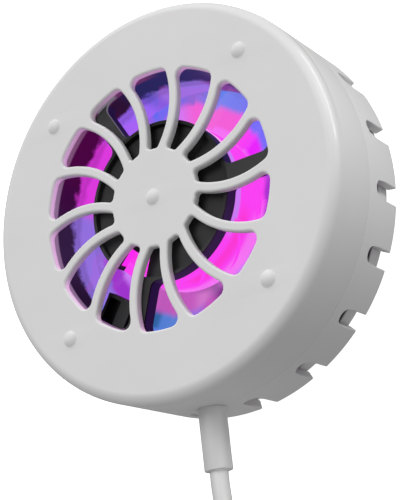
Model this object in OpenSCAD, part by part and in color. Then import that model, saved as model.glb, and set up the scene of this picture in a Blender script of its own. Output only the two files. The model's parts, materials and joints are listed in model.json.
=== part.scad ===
// Round phone cooling fan. A two-part shell with a slotted front holds a small axial fan lit by colour
// lamps, a finned heat sink on a thermoelectric cooler, a magnetic contact face and a captive power cord.
// The origin is the centre of the contact face, +Z points out of the grille and the cord leaves along -Y.
// All sizes are in millimetres.

/* [Housing] */
// Outer diameter of both shells
body_d = 60; // [54:0.5:70]
// Thickness from the contact face to the flat front face
body_t = 18.2; // [17.8:0.1:22]
// Thickness of the slotted front face
front_wall = 1.2; // [1:0.1:1.6]
// Wall of the front skirt and of the rear shell
side_wall = 1.4; // [1:0.1:1.6]
// Rounding of the front edge
front_edge_r = 1.7; // [0.8:0.1:2.4]
// Height of the seam between the shells
seam_z = 8.75; // [8.5:0.05:9.2]
// Height of the rear shell's edge above the contact face
rear_edge_z = 0.45; // [0.2:0.05:0.8]
// Height of the tongue that laps inside the front skirt
lap_h = 1.5; // [0.8:0.1:2.5]
// Thickness of the tongue
lap_t = 0.8; // [0.5:0.1:1]
// Diameter of the moulded domes on the front
dome_d = 2.4; // [1.6:0.1:3]
// Height of the moulded domes
dome_h = 0.45; // [0.2:0.05:0.7]
// Distance of the domes and of the screws behind them from the outer wall; the fan fits inside them
dome_inset = 5.8; // [5:0.1:6.5]

/* [Grille] */
// Number of slots
slot_count = 14; // [10:1:16]
// Radius of the plain middle, where the slots begin
slot_in_r = 7.45; // [6.5:0.05:8]
// Distance that the slots run on past the duct's inside
slot_lap = 0.15; // [0:0.05:0.5]
// Width of the ribs between the slots
rib_w = 1.45; // [1:0.05:1.8]
// Radius of each rib's arc
rib_arc_r = 14.4; // [13:0.1:20]
// Radius at which a rib points straight outwards
rib_true_r = 11.45; // [10.5:0.05:13]
// Direction of the first rib, in degrees from +X
rib_turn = 16.4; // [0:0.1:25]
// Rounding of the slots' outer corners
slot_out_corner_r = 1.2; // [0.5:0.1:1.5]
// Rounding of the slots' inner corners
slot_in_corner_r = 0.6; // [0.3:0.05:0.7]

/* [Air outlets] */
// Number of notches round the rear shell
notch_count = 20; // [12:4:24]
// Width of a notch
notch_w = 2.5; // [1.5:0.1:3]
// Height of the rounded top of a notch
notch_top_z = 6.45; // [6:0.05:6.8]

/* [Fan] */
// Wall of the duct
duct_wall = 1.7; // [1.2:0.1:1.9]
// Height of the clear light ring that forms the rear of the duct
light_ring_h = 4.2; // [3:0.1:5]
// Radius of the motor's disc, and of the impeller's hub behind it
motor_r = 12; // [11.8:0.1:12.8]
// Thickness of the motor's disc and arms
motor_disc_t = 2.2; // [2.1:0.1:2.5]
// Depth of the dish in the motor's disc, down to its sticker
dish_depth = 0.8; // [0.3:0.1:0.9]
// Width of the three arms
arm_w = 2.7; // [2.4:0.1:4]
// Rounding where an arm meets the disc and the duct
arm_fillet_r = 1.3; // [0.6:0.1:1.6]
// Number of blades
blade_count = 9; // [5:1:11]
// Thickness of a blade
blade_t = 0.7; // [0.5:0.05:1]
// Gap between the blade tips and the duct
tip_gap = 0.5; // [0.3:0.05:0.8]
// Slope of the blades, in degrees
blade_slope = 40; // [30:1:50]
// Diameter of the fan's shaft
shaft_d = 1.5; // [1.2:0.1:2]
// Outer diameter of the sleeve bearing
bearing_d = 4; // [3.4:0.1:4.4]

/* [Cooler] */
// Thickness of the base plate
base_t = 2.65; // [2.6:0.05:2.8]
// Thickness of the soft contact pad
pad_t = 0.8; // [0.6:0.05:0.9]
// Depth of the pad's seat in the base plate
pad_seat = 0.4; // [0.2:0.05:0.5]
// Radial width of the contact pad, with the cold plate inside it
pad_w = 8.15; // [7:0.05:9]
// Thickness of the cold plate
cold_t = 1.6; // [1.4:0.1:1.8]
// Side of the thermoelectric module
tec_side = 20; // [16:0.5:20]
// Thickness of each ceramic face of the module
ceramic_t = 0.5; // [0.4:0.05:0.6]
// Height of the module's pellets
pellet_h = 0.8; // [0.75:0.05:1]
// Number of pellets along a side
pellet_rows = 6; // [4:1:8]
// Gap between the heat sink and the ledge round it
sink_gap = 0.5; // [0.3:0.1:1]
// Thickness of the heat sink's floor
sink_floor_t = 0.8; // [0.6:0.1:1]
// Number of fins, a multiple of four to leave room for the four screws
fin_count = 24; // [16:4:24]
// Thickness of a fin
fin_t = 0.8; // [0.5:0.1:1]
// Number of magnets in the ring
magnet_count = 16; // [8:4:20]
// Radial width of the magnets
magnet_w = 4; // [3.4:0.1:4.2]
// Thickness of the magnets
magnet_t = 1.2; // [1:0.1:1.25]
// Thickness of the steel ring behind the magnets
yoke_ring_t = 0.4; // [0.3:0.05:0.45]

/* [Electronics] */
// Thickness of the main circuit board
board_t = 1; // [0.8:0.1:1.2]
// Number of lamps round the light ring
lamp_count = 12; // [4:4:12]

/* [Cord] */
// Diameter of the cord
cord_d = 2.7; // [2:0.1:2.8]
// Diameter of the boot where the cord leaves
boot_d = 4.1; // [3.6:0.1:4.4]
// Length of the boot outside the shell
boot_len = 8.9; // [6:0.1:12]
// Number of turns in the stored coil
coil_turns = 12.75; // [8.75:1:14.75]

/* [Hidden] */
$fn = 96;

// Shared clearances
fit_gap = 0.02;
slip_gap = 0.1;
free_gap = 0.3;
cut = 0.5;

// Shell heights and radii
body_r = body_d / 2;
wall_r = body_r - side_wall;
under_z = body_t - front_wall;
lap_out_r = wall_r - slip_gap;
lap_in_r = lap_out_r - lap_t;
ledge_t = 0.8;
ledge_gap = 0.15;
ledge_z0 = notch_top_z + ledge_gap;
ledge_z1 = ledge_z0 + ledge_t;
screw_ring_r = body_r - dome_inset;
screw_turns = [45, 135, 225, 315];
screw_r = 0.95;
screw_gap = 0.2;
screw_hole_r = screw_r + screw_gap;
screw_head_r = 1.7;
head_gap = 0.15;
boss_r = 2;
boss_gap = 0.2;
column_r = 2.3;
boss_bore_len = 5.6;
boss_bore_spare = 1;
boss_bore_top_z = ledge_z1 + boss_bore_len;
locating_rib_t = 0.7;
locating_rib_h = 1;

// Duct and slots, inside the ring of screws
duct_out_r = screw_ring_r - boss_r - boss_gap - locating_rib_t - slip_gap;
duct_r = duct_out_r - duct_wall;
slot_out_r = duct_r + slot_lap;
ledge_inset = 0.4;
ledge_in_r = duct_r + ledge_inset;

// Cooler stack, from the contact face upwards
base_z0 = pad_t - pad_seat;
base_z1 = base_z0 + base_t;
base_gap = 0.15;
base_r = wall_r - base_gap;
pad_rim = 0.5;
pad_out_r = base_r - pad_rim;
pad_in_r = pad_out_r - pad_w;
pad_gap = 0.8;
cold_r = pad_in_r - pad_gap;
magnet_z1 = pad_t + magnet_t;
yoke_z1 = magnet_z1 + yoke_ring_t;
magnet_rim = 1.45;
magnet_out_r = base_r - magnet_rim;
magnet_in_r = magnet_out_r - magnet_w;
magnet_gap_deg = 9;
ceramic_z1 = cold_t + ceramic_t;
pellet_z1 = ceramic_z1 + pellet_h;
sink_z0 = pellet_z1 + ceramic_t;
sink_z1 = sink_z0 + sink_floor_t;
sink_r = ledge_in_r - sink_gap;
fin_drop = 0.4;
fin_z1 = ledge_z1 - fin_drop;
fin_in_r = 5;
fin_lap = 0.2;
sink_hub_h = 1;
sink_screw_inset = 2.1;
sink_screw_ring_r = sink_r - sink_screw_inset;
sink_screw_turns = [0, 90, 180, 270];
sink_screw_r = 0.8;
sink_screw_gap = 0.15;
sink_screw_bite = 0.9;
sink_screw_head_r = 1.4;
sink_screw_head_h = 1;
gasket_wall = 0.75;
gasket_gap = 0.15;
gasket_in = tec_side / 2 + gasket_gap;
gasket_out = gasket_in + gasket_wall;
tec_opening = gasket_out + slip_gap;
tec_wire_r = 0.35;
tec_wire_x = 3;
tec_wire_gap = 0.25;
tec_wire_off = 1.2;
tec_wire_tuck = 0.4;
solder_h = 0.4;
tec_wire_y = -(duct_out_r + tec_wire_off);
tec_wire_z = (ceramic_z1 + pellet_z1) / 2;

// Fan heights and radii
light_z1 = ledge_z1 + light_ring_h;
disc_z1 = under_z - slip_gap;
disc_z0 = disc_z1 - motor_disc_t;
label_t = 0.2;
label_rim = 0.5;
label_gap = 0.1;
label_z1 = disc_z1 - dish_depth;
label_z0 = label_z1 - label_t;
label_seat_r = motor_r - label_rim;
label_r = label_seat_r - label_gap;
arm_turns = [0.5, 119.2, 251.1];
cable_arm_turn = arm_turns[2];
wire_notch_turns = [222.5, 249.5];
wire_notch_r = 8.3;
wire_block_turn = 235.5;
wire_block_w = 4.9;
wire_block_len = 4.2;
wire_block_r = duct_r - wire_block_len;
wire_block_drop = 0.7;
wire_block_z1 = disc_z1 - wire_block_drop;
wire_pocket_rim = 0.5;
wire_pocket_w = 2.2;
wire_pocket_h = 1.2;
sweep_gap = 0.8;
impeller_z0 = fin_z1 + sweep_gap;
impeller_z1 = disc_z0 - free_gap;
blade_rear_rim = 0.2;
blade_front_rim = 0.4;
blade_z0 = impeller_z0 + blade_rear_rim;
blade_z1 = impeller_z1 - blade_front_rim;
blade_span = 9;
blade_camber_r = 12;
tip_r = duct_r - tip_gap;
hub_wall = 1.2;
hub_floor_t = 1;
hub_in_r = motor_r - hub_wall;
blade_root_r = sqrt(pow(motor_r - hub_wall / 2, 2) - pow(blade_span / 2, 2));
hub_floor_z1 = impeller_z0 + hub_floor_t;
hub_boss_r = 2.2;
hub_boss_h = 0.8;
hub_boss_z1 = hub_floor_z1 + hub_boss_h;
cup_r = hub_in_r - fit_gap;
cup_t = 0.5;
cup_floor_z1 = hub_floor_z1 + cup_t;
cup_recess = 1.3;
cup_z1 = impeller_z1 - cup_recess;
rotor_magnet_r = cup_r - cup_t - fit_gap;
rotor_magnet_t = 0.9;
rotor_magnet_recess = 0.2;
rotor_magnet_z1 = cup_z1 - rotor_magnet_recess;
shaft_r = shaft_d / 2;
shaft_gap = 0.03;
bearing_r = bearing_d / 2;
tube_wall = 1.2;
tube_r = bearing_r + tube_wall;
tube_gap = 0.7;
tube_z0 = cup_floor_z1 + tube_gap;
tube_cap = 0.4;
tube_bore_z1 = label_z0 - tube_cap;
bearing_z0 = tube_z0 + slip_gap;
clip_room = 0.5;
bearing_z1 = tube_bore_z1 - clip_room;
clip_gap = 0.05;
clip_z0 = bearing_z1 + clip_gap;
clip_t = 0.25;
clip_w = 0.85;
clip_r = shaft_r + clip_w;
shaft_seat = 0.2;
air_gap = 0.35;
stator_r = rotor_magnet_r - rotor_magnet_t - air_gap;
stator_lift = 1.2;
stator_z0 = cup_floor_z1 + stator_lift;
stator_ring_t = 1;
stator_ring_r = tube_r + stator_ring_t;
pole_count = 4;
pole_w = 2;
pole_shoe_t = 1;
pole_shoe_deg = 66;
coil_over = 0.6;
winding_t = 1.1;
winding_gap = 0.2;
stator_board_t = 0.6;
stator_board_r = 9;
hub_lamp_w = 1.2;
hub_lamp_len = 1.6;
hub_lamp_h = 0.7;
hub_lamp_z1 = disc_z0 - stator_board_t;
stator_z1 = hub_lamp_z1 - hub_lamp_h - coil_over;
fan_wire_r = 0.35;
fan_wire_pitch = 0.9;
fan_wire_off = 1.1;
fan_wire_tuck = 0.5;
fan_wire_end_r = duct_out_r + fan_wire_off;
wire_groove_w = 1.9;
wire_groove_h = 0.9;
wire_groove_tuck = 0.6;
fan_wire_z = disc_z0 + wire_groove_h / 2;

// Circuit board and what stands on it
board_z1 = ledge_z1 + board_t;
board_gap = 0.4;
board_in_r = duct_out_r + board_gap;
board_out_r = lap_in_r - free_gap;
lamp_w = 1;
lamp_len = 1.6;
lamp_h = 1;
lamp_r = board_in_r + slip_gap;
// Direction in degrees, then radial, tangential and upward size of each box on the board
board_boxes = [[10, 3.2, 3.2, 2], [80, 3.2, 3.4, 0.9], [110, 2.6, 2.6, 1], [196, 3, 3, 0.9],
    [290, 2, 3, 0.8], [340, 2.6, 3.6, 1.4]];
board_box_off = 2.8;
board_box_r = board_in_r + board_box_off;
capacitor_turn = 160;
capacitor_r = 1.5;
capacitor_h = 3;

// Cord where it leaves the shell
cord_r = cord_d / 2;
cord_z = seam_z;
boot_r = boot_d / 2;
boot_neck_wall = 0.3;
boot_neck_r = cord_r + boot_neck_wall;
boot_end_y = -(body_r + boot_len);
boot_edge = 0.25;
boot_flange_w = 1;
boot_flange_r = boot_neck_r + boot_flange_w;
boot_flange_gap = 0.25;
boot_flange_y = -(wall_r - boot_flange_gap);
boot_flange_t = 1.2;
cord_gate_side = 0.7;
cord_gate_w = 2 * (boot_flange_r + cord_gate_side);
cord_inner_len = 3.6;
cord_inner_y = boot_flange_y + cord_inner_len;
board_gate_gap = 0.2;
board_gate_y = cord_inner_y + board_gate_gap;
power_wire_r = 0.4;
power_wire_x = 0.62;
power_wire_len = 1.8;
power_wire_lift = 0.05;

// Stored coil: loops spiral in and out again, and climb a layer where the spiral reverses
coil_layers = 4;
coil_gap = 0.5;
coil_pitch = cord_d + coil_gap;
coil_mid_r = 5.5 * cord_d;
layer_turns = coil_turns / coil_layers;
coil_out_r = coil_mid_r + layer_turns * coil_pitch / 2;
coil_in_r = coil_out_r - layer_turns * coil_pitch;
tie_t = 0.5;
tie_w = 4;
tie_slack = 0.5;
tie_top_gap = 0.2;
tie_corner_r = 2;
coil_z = tie_t + free_gap + cord_r;
coil_top_z = coil_z + (coil_layers - 1) * coil_pitch;
coil_leave_y = -53.5;
coil_y = coil_leave_y - coil_out_r;
coil_x = -coil_out_r;
loop_rings = 24;
loop_sides = 6;
cord_sides = 8;

// Plug lying beside the coil
plug_x = 15;
plug_y = -66;
plug_w = 16;
plug_h = 8;
plug_z = plug_h / 2;
plug_corner_r = 2.5;
relief_len = 5;
relief_r = 2.6;
relief_wall = 0.6;
relief_tip_r = cord_r + relief_wall;
plug_body_len = 19;
shell_w = 12;
shell_h = 4.5;
shell_t = 0.3;
shell_len = 12;
window_w = 2.2;
window_x = 2.5;
window_y = 6.4;
plug_body_y = plug_y - relief_len;
plug_face_y = plug_body_y - plug_body_len;
insulator_h = 1.9;
insulator_len = 9.5;
contact_w = 1;
contact_t = 0.15;
contact_pitch = 2.3;
contact_inset = 1;

// Free stretches of the cord, as points on the cord's middle
lead_route = [[0, boot_end_y, cord_z], [0, -41.5, 8.75], [0, -45, 8.2], [0, -49, 6.6], [0, -53, 4.5],
    [0, -57, 2.9], [0, -61, coil_z + 0.1], [0, -65, coil_z], [0, coil_y + cord_d, coil_z]];
tail_route = [[coil_x + cord_d, coil_leave_y, coil_top_z], [-10, coil_leave_y, coil_top_z],
    [-4, coil_leave_y, coil_top_z - 0.1], [1, -53.7, 11.1], [6, -54.9, 9.7], [10.2, -57.3, 7.8],
    [13.2, -60.2, 5.8], [14.6, -62.4, 4.45], [plug_x, -64, plug_z], [plug_x, plug_y, plug_z]];

// Radius and height of the coil at a number of turns from its start
function layer_share(turn) = turn / layer_turns - floor(turn / layer_turns);
function inwards(turn) = floor(turn / layer_turns) % 2 == 0;
function spiral_r(turn) = inwards(turn)
    ? coil_out_r - layer_share(turn) * layer_turns * coil_pitch
    : coil_in_r + layer_share(turn) * layer_turns * coil_pitch;
function climb(turn, level) = min(1, max(0, 2 * (turn - level * layer_turns) + 0.5));
function coil_level(turn) = climb(turn, 1) + climb(turn, 2) + climb(turn, 3);
function coil_point(turn) = [coil_x + spiral_r(turn) * cos(-360 * turn),
    coil_y + spiral_r(turn) * sin(-360 * turn), coil_z + coil_pitch * coil_level(turn)];
coil_steps = coil_turns * loop_rings;
coil_loops = [for (i = [0 : coil_steps]) coil_point(i / loop_rings)];
coil_route = concat([coil_loops[0] + [0, cord_d, 0]], coil_loops,
    [coil_loops[coil_steps] + [cord_d, 0, 0]]);

// Least gap between loops that are at least half a turn apart
function nearest(path, skip) = min([for (i = [0 : len(path) - 1 - skip])
    min([for (j = [i + skip : len(path) - 1]) norm(path[i] - path[j])])]);
echo(least_gap_between_loops = nearest(coil_loops, loop_rings / 2) - cord_d);  // cord_coil

// Points of a circular arc in a plane, from one direction to another
function arc(centre, r, from, to, steps) =
    [for (i = [0 : steps]) centre + r * [cos(from + (to - from) * i / steps),
        sin(from + (to - from) * i / steps)]];
function turn_of(v) = atan2(v[1], v[0]);
// Where two circles cross, on the left of the line from the first centre to the second or on the right
function crossing(c1, r1, c2, r2, left) =
    let (d = norm(c2 - c1), u = (c2 - c1) / d, x = (d * d + r1 * r1 - r2 * r2) / (2 * d),
        y = sqrt(r1 * r1 - x * x))
    c1 + x * u + (left ? y : -y) * [-u[1], u[0]];
// The direction nearest to a reference, whole turns apart
function near_turn(a, reference) = a - 360 * round((a - reference) / 360);

// One slot between two ribs: an outline of arcs, with rounded corners
slot_pitch = 360 / slot_count;
function rib_centre(k) = let (a = rib_turn + k * slot_pitch)
    [rib_true_r * cos(a) - rib_arc_r * sin(a), rib_true_r * sin(a) + rib_arc_r * cos(a)];
slot_a = rib_centre(0);
slot_b = rib_centre(1);
slot_a_r = rib_arc_r - rib_w / 2;
slot_b_r = rib_arc_r + rib_w / 2;
corner_oa = crossing([0, 0], slot_out_r - slot_out_corner_r, slot_a, slot_a_r - slot_out_corner_r, false);
corner_ob = crossing([0, 0], slot_out_r - slot_out_corner_r, slot_b, slot_b_r + slot_out_corner_r, false);
corner_ib = crossing([0, 0], slot_in_r + slot_in_corner_r, slot_b, slot_b_r + slot_in_corner_r, false);
corner_ia = crossing([0, 0], slot_in_r + slot_in_corner_r, slot_a, slot_a_r - slot_in_corner_r, false);
function swing(centre, r, from, to, steps) =
    let (a = turn_of(from), b = near_turn(turn_of(to), a)) arc(centre, r, a, b, steps);
slot_outline = concat(
    swing(corner_oa, slot_out_corner_r, corner_oa - slot_a, corner_oa, 5),
    swing([0, 0], slot_out_r, corner_oa, corner_ob, 4),
    swing(corner_ob, slot_out_corner_r, corner_ob, slot_b - corner_ob, 5),
    swing(slot_b, slot_b_r, corner_ob - slot_b, corner_ib - slot_b, 10),
    swing(corner_ib, slot_in_corner_r, slot_b - corner_ib, -corner_ib, 4),
    swing([0, 0], slot_in_r, corner_ib, corner_ia, 2),
    swing(corner_ia, slot_in_corner_r, -corner_ia, corner_ia - slot_a, 4),
    swing(slot_a, slot_a_r, corner_ia - slot_a, corner_oa - slot_a, 10));

// Direction of travel along a path, and the tube that follows it
function heading(path, i) =
    let (v = path[min(i + 1, len(path) - 1)] - path[max(i - 1, 0)]) v / norm(v);
function sideways(v) = let (s = cross(v, [0, 0, 1])) s / norm(s);
function tube_ring(centre, v, r, sides, roll) = let (s = sideways(v), u = cross(s, v))
    [for (k = [0 : sides - 1]) let (a = 360 * k / sides + roll) centre + r * (cos(a) * s + sin(a) * u)];
module tube(path, r, sides, roll) {
    last = len(path) - 1;
    points = [for (i = [0 : last]) each tube_ring(path[i], heading(path, i), r, sides, roll)];
    walls = [for (i = [0 : last - 1], k = [0 : sides - 1])
        let (a = i * sides + k, b = i * sides + (k + 1) % sides)
        each [[a, a + sides, b], [b, a + sides, b + sides]]];
    front = [for (k = [1 : sides - 2]) [0, k, k + 1]];
    back = [for (k = [1 : sides - 2]) [last * sides, last * sides + k + 1, last * sides + k]];
    polyhedron(points = points, faces = concat(walls, front, back), convexity = 12);
}

// Ring with a rectangular section, standing on a height
module ring(r_out, r_in, z0, z1) {
    translate([0, 0, z0]) difference() {
        cylinder(r = r_out, h = z1 - z0);
        translate([0, 0, -cut]) cylinder(r = r_in, h = z1 - z0 + 2 * cut);
    }
}

// Round bar between two heights, at the origin or at a place
module post(r, z0, z1) {
    translate([0, 0, z0]) cylinder(r = r, h = z1 - z0);
}

// Copies of a child at the four screws of the case, or on a circle
module at_turns(turns, r) {
    for (a = turns) rotate([0, 0, a]) translate([r, 0, 0]) children();
}

// Round bar along Y, from one place to another
module bar_y(r, y0, y1, x, z) {
    translate([x, max(y0, y1), z]) rotate([90, 0, 0]) cylinder(r = r, h = abs(y1 - y0), $fn = 48);
}

// Rectangle about the origin with round corners
module rounded_rectangle(w, h, r) {
    square([w - 2 * r, h], center = true);
    square([w, h - 2 * r], center = true);
    for (x = [-1, 1], y = [-1, 1]) translate([x * (w / 2 - r), y * (h / 2 - r)]) circle(r = r, $fn = 48);
}

// Sector of a disc between two directions, drawn as a triangle that reaches past a radius
module sector(from, to, r) {
    reach = r / cos((to - from) / 2) + cut;
    polygon([[0, 0], reach * [cos(from), sin(from)], reach * [cos(to), sin(to)]]);
}

// Cross-shaped driver recess, cut down from a height
module driver_cross(r, z0, z1) {
    w = 0.36;
    for (a = [0, 90]) rotate([0, 0, a]) translate([-r, -w / 2, z0]) cube([2 * r, w, z1 - z0]);
}

// Passage for the boot's neck through both shells
module cord_gate() {
    bar_y(boot_neck_r + slip_gap, -(body_r + cut), -(wall_r - cut), 0, cord_z);
}

module dome() {
    dome_ball_r = (dome_h * dome_h + dome_d * dome_d / 4) / (2 * dome_h);
    root = 0.2;
    translate([0, 0, body_t]) rotate_extrude() intersection() {
        translate([0, dome_h - dome_ball_r]) circle(r = dome_ball_r);
        translate([0, -root]) square([dome_d / 2, dome_h + root]);
    }
}

module cover_skin() {
    rotate_extrude() difference() {
        union() {
            translate([0, seam_z]) square([body_r - front_edge_r, body_t - seam_z]);
            translate([0, seam_z]) square([body_r, body_t - front_edge_r - seam_z]);
            translate([body_r - front_edge_r, body_t - front_edge_r]) circle(r = front_edge_r);
        }
        translate([-cut, seam_z - cut]) square([wall_r + cut, under_z - seam_z + cut]);
    }
}

module front_cover() {
    color("gainsboro") difference() {
        union() {
            cover_skin();
            at_turns(screw_turns, screw_ring_r) post(boss_r, ledge_z1, under_z + cut);
            ring(duct_out_r + slip_gap + locating_rib_t, duct_out_r + slip_gap,
                under_z - locating_rib_h, under_z + cut);
            at_turns(screw_turns, screw_ring_r) dome();
            dome();
        }
        for (k = [0 : slot_count - 1]) rotate([0, 0, k * slot_pitch])
            translate([0, 0, under_z - cut]) linear_extrude(front_wall + 2 * cut) polygon(slot_outline);
        at_turns(screw_turns, screw_ring_r) post(screw_r + fit_gap, ledge_z1 - cut, boss_bore_top_z);
        cord_gate();
    }
}

module notch() {
    translate([wall_r - cut, 0, 0]) rotate([90, 0, 90]) linear_extrude(side_wall + 2 * cut) {
        translate([-notch_w / 2, -cut]) square([notch_w, notch_top_z - notch_w / 2 + cut]);
        translate([0, notch_top_z - notch_w / 2]) circle(r = notch_w / 2);
    }
}

module rear_shell() {
    notch_pitch = 360 / notch_count;
    color("gainsboro") difference() {
        union() {
            ring(body_r, wall_r, rear_edge_z, seam_z);
            ring(wall_r + cut, ledge_in_r, ledge_z0, ledge_z1);
            ring(wall_r + cut, lap_in_r, ledge_z0, seam_z);
            ring(lap_out_r, lap_in_r, seam_z - cut, seam_z + lap_h);
            at_turns(screw_turns, screw_ring_r) post(column_r, base_z1, ledge_z0 + cut);
        }
        for (k = [0 : notch_count - 1]) rotate([0, 0, (k + 0.5) * notch_pitch]) notch();
        at_turns(screw_turns, screw_ring_r) post(screw_hole_r, base_z1 - cut, ledge_z1 + cut);
        translate([-cord_gate_w / 2, -wall_r, cord_z - boot_flange_r - slip_gap])
            cube([cord_gate_w, wall_r + boot_flange_y + boot_flange_t + slip_gap, seam_z]);
        cord_gate();
        for (x = [-tec_wire_x, tec_wire_x])
            translate([x, tec_wire_y, 0]) post(tec_wire_r + tec_wire_gap, ledge_z0 - cut, ledge_z1 + cut);
    }
}

module base_plate() {
    channel_r = tec_wire_r + tec_wire_gap;
    color("gainsboro") difference() {
        post(base_r, base_z0, base_z1);
        ring(pad_out_r + slip_gap, pad_in_r - slip_gap, base_z0 - cut, pad_t);
        ring(magnet_out_r + slip_gap, magnet_in_r - slip_gap, pad_t - cut, yoke_z1);
        post(cold_r + slip_gap, base_z0 - cut, cold_t);
        translate([-tec_opening, -tec_opening, cold_t - cut])
            cube([2 * tec_opening, 2 * tec_opening, base_z1]);
        at_turns(screw_turns, screw_ring_r) post(screw_hole_r, pad_t, base_z1 + cut);
        at_turns(screw_turns, screw_ring_r) post(screw_head_r + head_gap, pad_t - cut, yoke_z1);
        at_turns(sink_screw_turns, sink_screw_ring_r)
            post(sink_screw_r + sink_screw_gap, base_z0, base_z1 + cut);
        for (x = [-tec_wire_x, tec_wire_x])
            translate([x - channel_r, tec_wire_y - channel_r, tec_wire_z - channel_r])
                cube([2 * channel_r, channel_r - tec_wire_y - tec_opening + cut, base_z1]);
    }
}

module contact_pad() {
    color("whitesmoke") ring(pad_out_r, pad_in_r, 0, pad_t);
}

module ring_magnets() {
    step = 360 / magnet_count;
    color("silver") for (k = [0 : magnet_count - 1]) rotate([0, 0, k * step + magnet_gap_deg / 2])
        translate([0, 0, pad_t]) rotate_extrude(angle = step - magnet_gap_deg)
            translate([magnet_in_r, 0]) square([magnet_w, magnet_t]);
}

module magnet_yoke() {
    color("dimgray") difference() {
        ring(magnet_out_r, magnet_in_r, magnet_z1, yoke_z1);
        at_turns(screw_turns, screw_ring_r) post(screw_head_r + head_gap, magnet_z1 - cut, yoke_z1 + cut);
    }
}

module cold_plate() {
    color("silver") difference() {
        post(cold_r, 0, cold_t);
        at_turns(sink_screw_turns, sink_screw_ring_r)
            post(sink_screw_r + fit_gap, cold_t - sink_screw_bite - slip_gap, cold_t + cut);
    }
}

module ceramic(z0) {
    translate([-tec_side / 2, -tec_side / 2, z0]) cube([tec_side, tec_side, ceramic_t]);
}

module tec_cold_ceramic() {
    color("white") ceramic(cold_t);
}

module tec_pellets() {
    pellet = 1.4;
    edge = 1.4;
    first = edge - tec_side / 2;
    pellet_pitch = (tec_side - 2 * edge - pellet) / (pellet_rows - 1);
    color("darkgray") for (i = [0 : pellet_rows - 1], j = [0 : pellet_rows - 1])
        translate([first + i * pellet_pitch, first + j * pellet_pitch, ceramic_z1])
            cube([pellet, pellet, pellet_h]);
}

module tec_hot_ceramic() {
    color("white") ceramic(pellet_z1);
}

module tec_gasket() {
    color("black") difference() {
        translate([-gasket_out, -gasket_out, cold_t])
            cube([2 * gasket_out, 2 * gasket_out, sink_z0 - cold_t]);
        translate([-gasket_in, -gasket_in, cold_t - cut])
            cube([2 * gasket_in, 2 * gasket_in, sink_z0 - cold_t + 2 * cut]);
        for (x = [-tec_wire_x, tec_wire_x])
            bar_y(tec_wire_r + fit_gap, -gasket_out - cut, -gasket_in + cut, x, tec_wire_z);
    }
}

module tec_wires() {
    color("firebrick") for (x = [-tec_wire_x, tec_wire_x]) {
        bar_y(tec_wire_r, tec_wire_y, tec_wire_tuck - tec_side / 2, x, tec_wire_z);
        translate([x, tec_wire_y, tec_wire_z]) sphere(r = tec_wire_r, $fn = 48);
        translate([x, tec_wire_y, 0]) post(tec_wire_r, tec_wire_z, board_z1 + solder_h, $fn = 48);
    }
}

module heat_sink() {
    fin_pitch = 360 / fin_count;
    color("silver") difference() {
        union() {
            post(sink_r, sink_z0, sink_z1);
            post(fin_in_r + fin_lap, sink_z1 - cut, sink_z1 + sink_hub_h);
            intersection() {
                post(sink_r, sink_z1 - cut, fin_z1);
                for (k = [0 : fin_count - 1]) rotate([0, 0, (k + 0.5) * fin_pitch])
                    translate([fin_in_r, -fin_t / 2, sink_z1 - cut / 2]) cube([sink_r, fin_t, fin_z1]);
            }
        }
        at_turns(sink_screw_turns, sink_screw_ring_r)
            post(sink_screw_r + sink_screw_gap, sink_z0 - cut, sink_z1 + cut);
    }
}

module heat_sink_screws() {
    head_z1 = sink_z1 + sink_screw_head_h;
    cross_r = 0.8;
    cross_h = 0.5;
    color("slategray") at_turns(sink_screw_turns, sink_screw_ring_r) difference() {
        union() {
            post(sink_screw_r, cold_t - sink_screw_bite, sink_z1 + cut, $fn = 48);
            post(sink_screw_head_r, sink_z1, head_z1, $fn = 48);
        }
        driver_cross(cross_r, head_z1 - cross_h, head_z1 + cut);
    }
}

module case_screws() {
    head_z0 = pad_t + slip_gap;
    cross_r = 0.9;
    cross_h = 0.6;
    color("slategray") at_turns(screw_turns, screw_ring_r) difference() {
        union() {
            post(screw_r, head_z0 + cut, boss_bore_top_z - boss_bore_spare, $fn = 48);
            post(screw_head_r, head_z0, yoke_z1, $fn = 48);
        }
        driver_cross(cross_r, head_z0 - cut, head_z0 + cross_h);
    }
}

module main_board() {
    color("seagreen") difference() {
        ring(board_out_r, board_in_r, ledge_z1, board_z1);
        at_turns(screw_turns, screw_ring_r) post(boss_r + boss_gap, ledge_z1 - cut, board_z1 + cut);
        translate([-cord_gate_w / 2, -body_r, ledge_z1 - cut])
            cube([cord_gate_w, body_r + board_gate_y, board_t + 2 * cut]);
        for (x = [-tec_wire_x, tec_wire_x])
            translate([x, tec_wire_y, 0]) post(tec_wire_r + slip_gap, ledge_z1 - cut, board_z1 + cut);
    }
}

module board_components() {
    color("darkslategray") {
        for (b = board_boxes) rotate([0, 0, b[0]])
            translate([board_box_r - b[1] / 2, -b[2] / 2, board_z1]) cube([b[1], b[2], b[3]]);
        rotate([0, 0, capacitor_turn]) translate([board_box_r, 0, 0])
            post(capacitor_r, board_z1, board_z1 + capacitor_h);
    }
}

module ring_lamps() {
    color("white") for (k = [0 : lamp_count - 1]) rotate([0, 0, k * 360 / lamp_count])
        translate([lamp_r, -lamp_len / 2, board_z1]) cube([lamp_w, lamp_len, lamp_h]);
}

module light_ring() {
    color("violet", 0.6) ring(duct_out_r, duct_r, ledge_z1, light_z1);
}

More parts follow.
